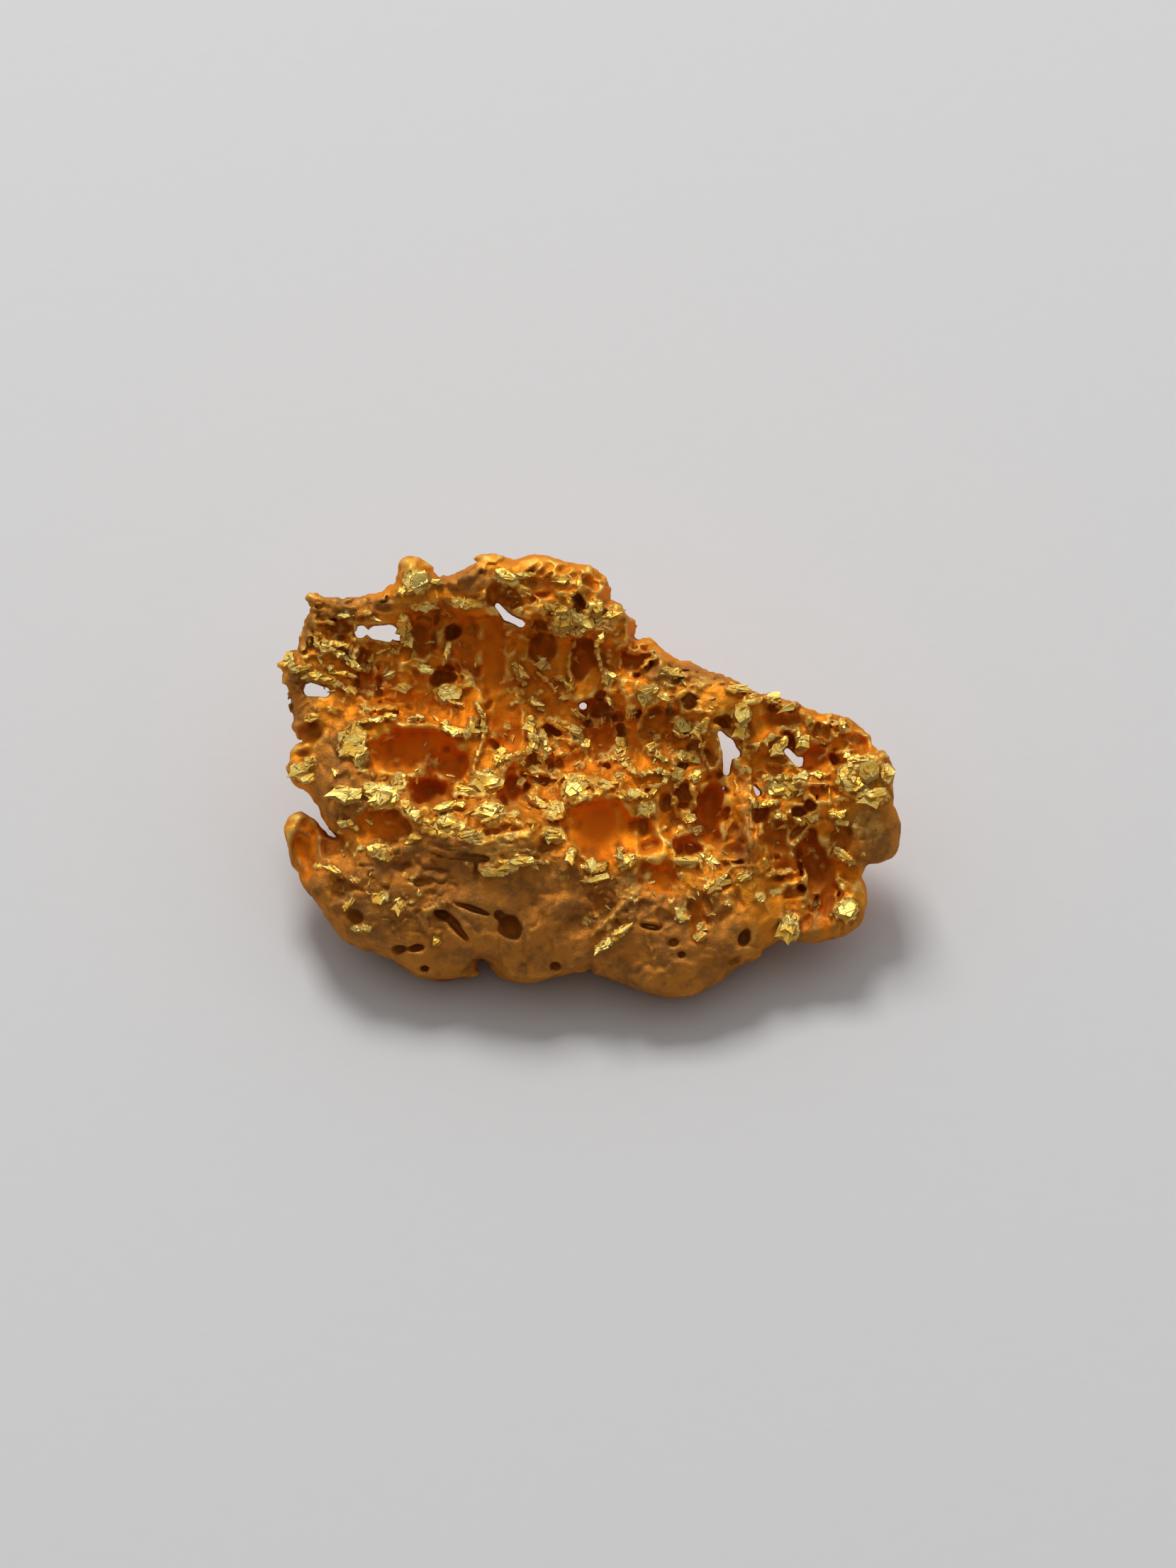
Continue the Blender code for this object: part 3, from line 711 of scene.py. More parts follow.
@dataclass(frozen=True)
class Floors:
    """The sunken floors, softly folded, from which ridges and flakes stand up.

    Attributes:
        floors: Every floor.
        wrinkles: Where fine wrinkles wind, how deep they are and how far apart.
        fold: Height of the folds as a share of how far a floor is sunk.
        fade: Share of its size over which a floor fades out.
        wrinkle_width: How wide a wrinkle is, as a share of the noise that it winds through.
        seed: Seed of the folds' course.
        wrinkle_seed: Seed of the wrinkles' course.
    """

    floors: tuple[Floor, ...] = laid_out(Floor, (
        (-6.9, 3.5, 1.2, 1.1, 0.14, 0.6, 0.3), (-4.5, 3.2, 1.5, 1.6, 0.28, 0.4, 1.6),
        (-5.9, 3.3, 0.5, 0.9, 0.2, 0.4, 1.2), (-0.7, 3.2, 1.7, 1.5, 0.38, 0.45, 1.2),
        (-0.8, 1.2, 1.8, 0.9, 0.3, 0.45, 0.9), (0.5, 1.3, 0.8, 1.1, 0.35, 0.35, 1.3),
        (-1.7, -0.1, 1, 0.7, 0.25, 0.5, 0.5), (2, 1, 1.3, 1.3, 0.3, 0.5, 0.5),
        (3.3, -0.8, 1.1, 1.6, 0.38, 0.4, 1.2), (5.5, 0.8, 1.6, 1.4, 0.3, 0.5, 0.5),
        (7.2, 1.2, 0.9, 0.6, 0.2, 0.4, 0.4), (6.1, -2.3, 1.3, 1.5, 0.25, 0.4, 1.2),
        (-0.2, 5.3, 1, 0.7, 0.16, 0.5, 0.5), (-5.75, -1.25, 0.7, 0.5, 0.25, 0.8, 0.8),
        (-8, -1.9, 0.35, 0.8, 0.15, 0.5, 0.9), (1.3, 3.4, 0.6, 0.4, 0.25, 0.5, 0.5),
    ))
    wrinkles: tuple[Floor, ...] = laid_out(Floor, (
        (-2.7, -2, 1.7, 0.6, 0.09, 1.1, 0.2), (-5.2, -3, 1.6, 1.3, 0.07, 0.7, 0.35),
        (2.4, -4.5, 2.6, 1.3, 0.045, 0.9, 0.5), (-1.8, -4, 1.8, 1.2, 0.05, 0.5, 0.9),
        (0.7, -3.3, 1, 0.8, 0.08, 0.35, 0.3), (-3.2, 5.8, 1, 0.5, 0.06, 0.7, 0.25),
        (-6.7, 5, 1.4, 0.35, 0.07, 0.9, 0.14), (-6.9, 0.2, 0.9, 1.5, 0.06, 0.45, 0.8),
        (3.1, 3, 1.7, 0.5, 0.06, 0.8, 0.25), (8, -1.4, 0.8, 0.8, 0.04, 0.6, 0.5),
        (4.5, -1.2, 0.4, 1.4, 0.06, 0.3, 0.5), (-8.2, 2.4, 0.6, 1.2, 0.06, 0.3, 0.4),
        (-2.6, 3.4, 0.6, 1.6, 0.05, 0.25, 0.9), (6.7, -3.6, 1, 0.8, 0.04, 0.4, 0.7),
    ))
    fold: float = 0.3
    fade: float = 0.3
    wrinkle_width: float = 0.3
    seed: int = 61
    wrinkle_seed: int = 91

    def build(self, block: DistanceField) -> None:
        """Sink every floor and wrinkle into the field.

        Args:
            block: The field.
        """
        depth = np.zeros(block.shape[:2], dtype=np.float32)
        for index, floor in enumerate(self.floors):
            folds = block.noise((floor.fold_across, floor.fold_up, 1.0), self.seed + index, LEVEL)[:, :, 0]
            depth += block.spread(floor.patch, self.fade) * floor.sunk * (1.0 + self.fold * folds)
        for index, floor in enumerate(self.wrinkles):
            seed = self.wrinkle_seed + 2 * index
            winding = creased(block, floor.fold_across, floor.fold_up, self.wrinkle_width, seed)
            depth += block.spread(floor.patch, self.fade) * floor.sunk * winding
        block.sink(depth)


@dataclass(frozen=True)
class Cells:
    """Small concave cells with sharp borders, crowded together in the rough parts of the face.

    Attributes:
        zones: Where the cells are, with the depth and the size of a cell.
        wander: How far the borders wander, as a share of a cell.
        roundness: How flat the bottom of a cell is, where 1 is a cone.
        depths: The shallowest cell, and how much deeper the deepest one is, as shares of the depth.
        fade: Share of its size over which a zone fades out.
        seed: Seed of the cells' places.
    """

    zones: tuple[Floor, ...] = laid_out(Floor, (
        (-7, 3.3, 1.7, 1.7, 0.12, 0.42), (-4.6, 3.2, 1.8, 1.8, 0.13, 0.5), (-0.6, 3.3, 2.4, 2.4, 0.2, 0.5),
        (-0.8, 1.2, 2.2, 1.4, 0.18, 0.42), (2.2, 1.2, 2, 1.9, 0.18, 0.46), (3.4, -1.2, 1.4, 2, 0.16, 0.5),
        (6.2, 0.9, 2.2, 1.6, 0.16, 0.46), (5.8, -2.4, 1.6, 1.6, 0.16, 0.55),
        (-0.9, 5.3, 1.9, 0.9, 0.14, 0.45), (-3, -0.6, 2.2, 1, 0.12, 0.4), (-5.9, 0, 1.4, 1.6, 0.08, 0.45),
        (0.6, -2.6, 1.6, 0.7, 0.12, 0.42), (2.8, -3.2, 1.9, 1, 0.1, 0.5), (-6.3, -2.6, 1.6, 1.6, 0.08, 0.55),
        (7.9, 0.3, 0.8, 0.9, 0.14, 0.36), (-5.2, 5.4, 2.6, 0.7, 0.07, 0.5), (-2.5, -3.8, 3, 1.6, 0.05, 0.8),
        (2.4, -4.8, 2.6, 1, 0.05, 0.7), (3.6, 2.6, 2.2, 0.8, 0.07, 0.6),
    ))
    wander: float = 0.35
    roundness: float = 2.4
    depths: tuple[float, float] = (0.2, 1.2)
    fade: float = 0.25
    seed: int = 71

    def build(self, block: DistanceField, smooth: np.ndarray) -> None:
        """Sink the cells of every zone into the field's front.

        Args:
            block: The field.
            smooth: Share of the cells that each column goes without.
        """
        depth = np.zeros(block.shape[:2], dtype=np.float32)
        for index, zone in enumerate(self.zones):
            found = nearest_cells(block, zone.fold_across, self.wander, self.seed + 5 * index)
            near, second, drawn = found[0], found[1], found[4]
            deep = self.depths[0] + self.depths[1] * drawn * drawn
            layout = (1.0 - (near / second) ** self.roundness) * deep
            depth = np.maximum(depth, block.spread(zone.patch, self.fade) * zone.sunk * layout)
        block.sink(depth * (1.0 - smooth))


@dataclass(frozen=True)
class Hollows:
    """The pits and the holes that go right through the nugget.

    Attributes:
        broad: Broad hollows with softly rolled lips.
        sharp: Small dark pits with crisp lips.
        through: Holes right through, each a chain of across, up and radius.
        broad_blend: Width of a broad hollow's lip.
        sharp_blend: Width of a sharp pit's lip.
        wander: How far a hollow's edge wanders, as a share of its smaller half size.
        most_wander: The most that it wanders, in millimetres.
        reach: How far a through-hole is cut to each side of the face.
        edge_seed: Seed of how the edges wander.
    """

    broad: tuple[Pit, ...] = laid_out(Pit, (
        (-4.9, 1, 1.38, 0.72, 1.15, 4), (-4.45, -0.15, 0.62, 0.4, 1.7), (-4, 0.55, 0.7, 0.5, 1.2),
        (0.35, -1.2, 0.95, 0.9, 0.85), (1.1, -1.4, 0.6, 0.5, 0.5), (1.55, -1.2, 0.25, 0.3, 0.5),
        (1.8, -1.7, 0.3, 0.2, 0.45, 20), (-2.7, 3.6, 0.42, 1.2, 0.65, 4), (-2.35, 2.1, 0.5, 1.3, 0.7, 8),
        (-3.45, 3.85, 0.35, 0.85, 0.5), (-5.75, -1.2, 0.75, 0.45, 0.5), (3.45, -0.75, 0.42, 0.95, 1, -8),
        (-8, -2, 0.3, 0.55, 0.45, 5), (2, -2.6, 0.5, 0.42, 0.55), (5.35, -1.45, 0.38, 0.5, 0.6),
        (6.35, -2.2, 0.38, 0.85, 0.8, 5), (7.65, 1.25, 0.42, 0.3, 0.45, -30), (6.4, 0.8, 0.42, 0.36, 0.6),
        (5.45, 1.8, 0.6, 0.3, 0.6, -10), (1.9, 1.7, 0.5, 0.32, 0.5), (-2.15, -0.1, 0.33, 0.5, 0.8, 5),
        (-1.35, 0.15, 0.42, 0.25, 0.6, -10), (-1.2, 3.8, 0.38, 0.4, 0.6), (-0.15, 3.6, 0.35, 0.65, 0.6, -8),
        (1.3, 3.45, 0.4, 0.33, 0.8), (-6.25, 3, 0.28, 0.8, 0.5), (-4.72, 4.1, 0.3, 0.5, 0.5),
        (0.4, 1.3, 0.42, 0.6, 0.6), (3.08, -3.8, 0.24, 0.6, 0.45, -3), (6.8, -3, 0.3, 0.8, 0.5, -5),
        (-1.5, 5.65, 0.5, 0.25, 0.4, -10), (-7, 4.4, 0.45, 0.2, 0.6), (4.1, -1.9, 0.4, 0.3, 0.6),
        (5.6, -2.35, 0.45, 0.25, 0.5), (4.85, -0.75, 0.3, 0.3, 0.5), (-7.9, 1.45, 0.4, 0.25, 0.5, -10),
        (-8.1, 0.85, 0.25, 0.15, 0.35, 10), (7.05, -1.6, 0.3, 0.5, 0.4, -10), (0.4, -3.3, 0.3, 0.3, 0.3),
        (-1.2, -1.8, 0.3, 0.14, 0.35, 20), (-7.3, -1.75, 0.3, 0.2, 0.35), (-7, -2.9, 0.35, 0.15, 0.3, -15),
    ))
    sharp: tuple[Pit, ...] = laid_out(Pit, (
        (-2.4, 5.3, 0.48, 0.4, 0.78, -20), (-3.85, 4.3, 0.25, 0.25, 0.84), (-4.05, 3.05, 0.32, 0.28, 0.84),
        (-2.75, 2.3, 0.12, 0.22, 0.54, -25), (-1.15, 1.5, 0.16, 0.17, 0.48),
        (0.25, 2.15, 0.4, 0.27, 0.72, -25), (0.62, 1.88, 0.22, 0.18, 0.78), (-1.35, 4.45, 0.2, 0.22, 0.54),
        (-0.3, 5.05, 0.17, 0.28, 0.54), (0.12, 5.68, 0.3, 0.18, 0.42, -25), (2.85, 2.35, 0.25, 0.24, 0.48),
        (3.8, 1.78, 0.25, 0.14, 0.48), (5.72, 1.2, 0.15, 0.22, 0.48), (2.2, -0.6, 0.18, 0.3, 0.4),
        (2.72, -0.35, 0.2, 0.34, 0.4, 10), (2.8, -1.75, 0.46, 0.26, 0.66), (5.95, -0.8, 0.18, 0.14, 0.6),
        (6.28, -0.6, 0.16, 0.15, 0.6), (-2.4, -1.28, 0.5, 0.06, 0.14, 4),
        (-3.3, -2.07, 0.58, 0.13, 0.36, -4), (-3.14, -2.45, 0.06, 0.38, 0.22, -3),
        (-2.2, -4.02, 0.26, 0.4, 0.6, 38), (-2.5, -3.7, 0.16, 0.2, 0.42, 40),
        (-3.75, -3.98, 0.11, 0.55, 0.5, 42), (-4.1, -3.7, 0.26, 0.15, 0.5, -35),
        (-3.4, -3.45, 0.7, 0.07, 0.3, -18), (-5.3, -4.65, 0.24, 0.13, 0.4, 10),
        (-4.85, -4.62, 0.25, 0.09, 0.36, 5), (-4.6, -5.2, 0.14, 0.08, 0.3), (-0.9, -5.15, 0.14, 0.1, 0.3),
        (-4.6, -2.78, 0.32, 0.11, 0.2, 3), (-5, -2.72, 0.12, 0.06, 0.15),
        (-6.55, -3.75, 0.28, 0.2, 0.3, -30), (4.42, -4.32, 0.13, 0.24, 0.42, -15),
        (1.75, -4.02, 0.35, 0.08, 0.36, -10), (2.65, -4.8, 0.1, 0.07, 0.24, 15),
        (2.4, -4.45, 0.13, 0.1, 0.24), (1.28, -5.7, 0.06, 0.11, 0.24), (4.15, -4.98, 0.25, 0.1, 0.36, 30),
        (0.47, 0.5, 0.13, 0.08, 0.3), (2.65, 0.5, 0.14, 0.12, 0.36),
    ))
    through: tuple[tuple[tuple[float, float, float], ...], ...] = (
        ((-6.45, 4.32, 0.19),),
        ((-6.05, 4.3, 0.2), (-5.65, 4.28, 0.24), (-5.35, 4.2, 0.12)),
        ((-7.89, 2.68, 0.2), (-7.45, 2.6, 0.13)),
        ((-2.58, 5.08, 0.08), (-2.3, 4.75, 0.11), (-1.9, 4.56, 0.11)),
        ((-0.14, 2.23, 0.12),),
        ((3.75, 1.42, 0.1), (3.95, 1.1, 0.2), (4.2, 0.86, 0.12)),
        ((3.98, 1.1, 0.2), (3.93, 0.35, 0.1)),
        ((3.85, -0.12, 0.06),),
        ((5.65, 0.92, 0.1), (5.97, 0.58, 0.12), (6.05, 0.7, 0.06)),
        ((4.72, -0.1, 0.06), (4.82, -0.26, 0.08)),
    )
    broad_blend: float = 0.22
    sharp_blend: float = 0.06
    wander: float = 0.5
    most_wander: float = 0.13
    reach: float = 7.0
    edge_seed: int = 11

    def build(self, block: DistanceField) -> None:
        """Cut every pit into the field.

        Args:
            block: The field.
        """
        front = block.surface()
        finer = 0.6 * block.noise((0.2, 0.23, 1.0), self.edge_seed + 1, LEVEL)
        edge = block.noise((0.37, 0.37, 1.0), self.edge_seed, LEVEL) + finer
        for pits, blend, sway in (
            (self.broad, self.broad_blend, self.wander), (self.sharp, self.sharp_blend, self.wander / 2.0)
        ):
            for pit in pits:
                centre = (pit.across, pit.up, block.level_at(front, pit.across, pit.up))
                radii = (pit.half_across, pit.half_up, pit.depth)
                wander = min(sway * min(pit.half_across, pit.half_up), self.most_wander)
                block.carve(block.ellipsoid(centre, radii, pit.turn, 0.6, ripple=wander * edge), blend)

    def smoothed(self, block: DistanceField) -> np.ndarray:
        """Lay out where the gold is smooth.

        Args:
            block: The field.

        Returns:
            One share for each column, 1 in the broad hollows.
        """
        smooth = np.zeros(block.shape[:2], dtype=np.float32)
        for pit in self.broad:
            patch = Patch(pit.across, pit.up, pit.half_across, pit.half_up, pit.turn)
            smooth = np.maximum(smooth, block.spread(patch, 0.25))
        return smooth

    def pierce(self, block: DistanceField) -> None:
        """Cut every hole right through the field.

        Args:
            block: The field.
        """
        for chain in self.through:
            for start, end in zip(chain, chain[1:] + chain[-1:]):
                self.drill(block, start, end)

    def drill(self, block: DistanceField, start: Triple, end: Triple) -> None:
        """Cut a slot right through, from one round end to another.

        Args:
            block: The field to cut.
            start: Across, up and radius of the slot's start.
            end: Across, up and radius of the slot's end.
        """
        middle = ((start[0] + end[0]) / 2.0, (start[1] + end[1]) / 2.0)
        reach = math.hypot(end[0] - start[0], end[1] - start[1]) / 2.0 + max(start[2], end[2]) + 0.3
        cut, (x, y, _) = block.window((*middle, 0.0), (reach, reach, self.reach))
        axis = (end[0] - start[0], end[1] - start[1])
        length = max(axis[0] ** 2 + axis[1] ** 2, 1e-9)
        dx, dy = x + middle[0] - start[0], y + middle[1] - start[1]
        share = np.clip((dx * axis[0] + dy * axis[1]) / length, 0.0, 1.0)
        away = np.hypot(dx - share * axis[0], dy - share * axis[1])
        distance = away - (start[2] + (end[2] - start[2]) * share)
        block.carve((cut, distance), self.sharp_blend)


@dataclass(frozen=True)
class Skin:
    """The uneven surface between the named features.

    Attributes:
        waves: Noise cell, height and seed, from broad dents to fine grain.
        back_pits: How many pits are scattered on the back.
        back_low: Lowest across and up of the scattered pits.
        back_high: Highest across and up of the scattered pits.
        back_size: Smallest and largest half size of a scattered pit.
        back_lip: Width of a scattered pit's lip.
        seed: Seed of the scattered pits.
        edge_seed: Seed of how their edges wander.
    """

    waves: tuple[tuple[float, float, int], ...] = (
        (1.1, 0.11, 3), (0.5, 0.06, 4), (0.22, 0.028, 6), (0.12, 0.014, 7)
    )
    back_pits: int = 120
    back_low: tuple[float, float] = (-8.5, -5.5)
    back_high: tuple[float, float] = (8.5, 6.2)
    back_size: tuple[float, float] = (0.12, 0.42)
    back_lip: float = 0.1
    seed: int = 17
    edge_seed: int = 12

    def build(self, block: DistanceField) -> None:
        """Roughen the field by smooth noise, and pit its back.

        Args:
            block: The field.
        """
        for cell, height, seed in self.waves:
            block.values += height * block.noise((cell, cell, cell), seed)
        draw = np.random.default_rng(self.seed)
        back = block.surface(back=True)
        edge = block.noise((0.3, 0.3, 1.0), self.edge_seed, LEVEL)
        for _ in range(self.back_pits):
            across, up = (draw.uniform(low, high) for low, high in zip(self.back_low, self.back_high))
            size = draw.uniform(*self.back_size)
            radii = (size, size * draw.uniform(0.6, 1.4), size * draw.uniform(0.7, 1.3))
            centre = (across, up, block.level_at(back, across, up) - 0.25 * size)
            turn = draw.uniform(0.0, 180.0)
            pit = block.ellipsoid(centre, radii, turn, 0.3, ripple=0.3 * size * edge)
            block.carve(pit, self.back_lip)


@dataclass(frozen=True)
class Areas:
    """The areas whose finish differs, and where shade, reflection and sheen are painted.

    Attributes:
        worn: Matte areas that water has worn smooth.
        worn_edge: How quickly a worn area fades at its edge.
        painted_sheen: Smooth areas painted with a soft sheen, where the facets are also raised a little and
            glossier.
        painted_sheen_glow: How strongly the sheen is painted on them.
        painted_shade_pits: Listed pits painted darker, a painted shade.
        painted_shade_pits_edge: How quickly that painted shade fades at its edge.
        painted_pit_shade: How dark that painted shade is.
        deep: Sunken areas painted deep orange, a painted gold-on-gold reflection on their floors.
        deep_edge: How quickly a deep area fades at its edge.
    """

    worn: tuple[Patch, ...] = laid_out(Patch, (
        (-6.9, 0.2, 0.9, 1.4), (-4.4, -3.6, 3.2, 2), (-1.4, -3.8, 2, 1.8), (2.2, -4.6, 2.6, 1.5),
        (8.1, -1.5, 0.9, 0.9), (-3.5, 5.8, 0.7, 0.4), (1.4, -3.4, 1.3, 0.9), (6.6, -3.9, 1.2, 0.7),
        (-7.9, -2.2, 0.6, 1.2), (-6.8, 5, 1.4, 0.35), (-3.4, -2, 2.4, 0.5), (-8.2, 2.3, 0.5, 0.9),
        (-8.1, 4.4, 0.35, 0.8), (4.5, -1.6, 0.35, 1), (2.9, 3.15, 1.4, 0.3),
    ))
    worn_edge: float = 2.5
    painted_sheen: tuple[Patch, ...] = laid_out(Patch, (
        (-2.3, -2, 1.3, 0.45, 6), (-3.6, -1.35, 1.2, 0.25, -4), (-5, 5.9, 0.35, 0.4),
        (0.9, -3.3, 1, 0.22, 38), (0.5, -3.9, 0.6, 0.15, 35), (1.3, -2.7, 0.5, 0.18, 20),
        (1.9, 2.5, 0.5, 0.35), (-6.2, 5.15, 1.6, 0.12), (-1.5, 5.65, 0.45, 0.28, -10),
        (-6.5, 1.2, 0.35, 0.6, 10), (7.9, 0.3, 0.6, 0.7), (-0.6, -0.1, 1.3, 0.3, -10), (5.5, 0, 0.8, 0.25),
        (-2.6, -0.75, 0.8, 0.4), (4.5, -0.6, 0.25, 1.2, 8), (3.2, 2.95, 1.2, 0.18, -18),
        (7.9, -1.2, 0.5, 0.5), (-8.05, 4.4, 0.12, 0.7),
    ))
    painted_sheen_glow: float = 0.3
    painted_shade_pits: tuple[Patch, ...] = laid_out(Patch, (
        (-4.45, -0.15, 0.55, 0.35), (6.6, -2.5, 0.35, 1), (6.05, -0.75, 0.35, 0.25), (2.4, -0.5, 0.35, 0.35),
        (-4.85, 3.7, 0.3, 0.6), (2.8, -1.7, 0.4, 0.25), (3.7, -5, 0.5, 0.18), (-2.2, 5.35, 0.4, 0.2),
        (0.5, 2, 0.35, 0.25), (3.8, -1.7, 0.3, 0.5), (5.6, -1.9, 0.4, 0.3), (-3.3, -2.05, 0.6, 0.1),
        (-4.5, -2.8, 0.5, 0.15), (1.6, 1.4, 0.3, 0.2), (-2.2, -4, 0.3, 0.35),
    ))
    painted_shade_pits_edge: float = 1.5
    painted_pit_shade: float = 0.75
    deep: tuple[Patch, ...] = laid_out(Patch, (
        (-4.3, 3.2, 1.9, 2), (-2.4, 3, 0.9, 2.6), (-0.5, 2.4, 2, 2.1), (-6, 3.4, 1.5, 1.4),
        (-4.7, 0.9, 1.9, 1.1), (-7.9, -1.9, 0.5, 0.9), (-5.9, -1.15, 0.7, 0.5), (3.4, -0.8, 0.9, 1.2),
        (6.4, -2.4, 1.1, 1.6), (2, 0.9, 1.4, 1.2), (5.6, 0.2, 1.7, 1.6), (0.4, -1.2, 1.2, 1.1),
        (2.1, -2.7, 0.7, 0.5), (-0.6, 5.3, 1.2, 0.7), (7.5, 1.2, 0.6, 0.4), (3.1, -3.9, 0.3, 0.6),
        (6.7, -3.8, 0.7, 0.6), (1.6, -1.4, 0.9, 0.9), (-0.6, 0.6, 1.8, 1), (2.4, 2, 0.8, 0.5),
        (4.9, -1.2, 0.5, 1),
    ))
    deep_edge: float = 2.0


def share_in(patches: tuple[Patch, ...], places: np.ndarray, sharpness: float) -> np.ndarray:
    """Measure how far places lie within oval patches.

    Args:
        patches: The patches.
        places: One row of across, up and out for each place.
        sharpness: How quickly a patch fades at its edge.

    Returns:
        One share from 0 to 1 for each place.
    """
    share = np.zeros(len(places))
    for patch in patches:
        away = np.hypot(
            (places[:, 0] - patch.across) / patch.half_across, (places[:, 1] - patch.up) / patch.half_up
        )
        share = np.maximum(share, np.clip((PATCH_REACH - away) * sharpness, 0.0, 1.0))
    return share


def largest_island(points: np.ndarray, faces: np.ndarray) -> tuple[np.ndarray, np.ndarray]:
    """Keep only the largest connected part of a mesh.

    Args:
        points: The mesh's points.
        faces: Rows of point indices.

    Returns:
        The points and faces of the largest part.
    """
    edges = np.concatenate([faces[:, [k, (k + 1) % faces.shape[1]]] for k in range(faces.shape[1])])
    label = np.arange(len(points))
    while True:
        low = np.minimum(label[edges[:, 0]], label[edges[:, 1]])
        lower = label.copy()
        np.minimum.at(lower, label[edges[:, 0]], low)
        np.minimum.at(lower, label[edges[:, 1]], low)
        lower = lower[lower]
        lower = lower[lower]
        if np.array_equal(lower, label):
            break
        label = lower
    names, counts = np.unique(label, return_counts=True)
    kept = label == names[np.argmax(counts)]
    renumbered = np.cumsum(kept) - 1
    return points[kept], renumbered[faces[kept[faces[:, 0]]]]


def evaluated(item: bpy.types.Object) -> bpy.types.Mesh:
    """Apply an object's modifiers, and remove the object.

    Args:
        item: The object.

    Returns:
        The plain mesh.
    """
    graph = bpy.context.evaluated_depsgraph_get()
    made = bpy.data.meshes.new_from_object(item.evaluated_get(graph))
    bpy.data.objects.remove(item, do_unlink=True)
    return made


def grown(item: bpy.types.Object, tree: bpy.types.NodeTree, values: dict[str, Any]) -> bpy.types.Mesh:
    """Grow an object's mesh by a Geometry Nodes tree, and remove the object.

    Args:
        item: The object that carries the tree's points or lines.
        tree: The tree.
        values: What the tree's named inputs are set to.

    Returns:
        The plain mesh.
    """
    modifier = item.modifiers.new("grown", "NODES")
    modifier.node_group = tree
    for socket in tree.interface.items_tree:
        if socket.name in values:
            modifier[socket.identifier] = values[socket.name]
    return evaluated(item)


def placed(name: str, mesh: bpy.types.Mesh) -> bpy.types.Object:
    """Put a mesh into the scene as an object of the same name.

    Args:
        name: The name of both.
        mesh: The mesh.

    Returns:
        The object.
    """
    mesh.name = name
    made = bpy.data.objects.new(name, mesh)
    bpy.context.scene.collection.objects.link(made)
    return made


def mark(mesh: bpy.types.Mesh, traits: dict[Trait, np.ndarray]) -> None:
    """Mark a mesh's points with the traits that the finish reads.

    Args:
        mesh: The mesh.
        traits: The values of each trait, one for each point.
    """
    for trait, values in traits.items():
        layer = mesh.attributes.new(trait.value, "FLOAT", "POINT")
        layer.data.foreach_set("value", np.asarray(values, dtype=np.float32))


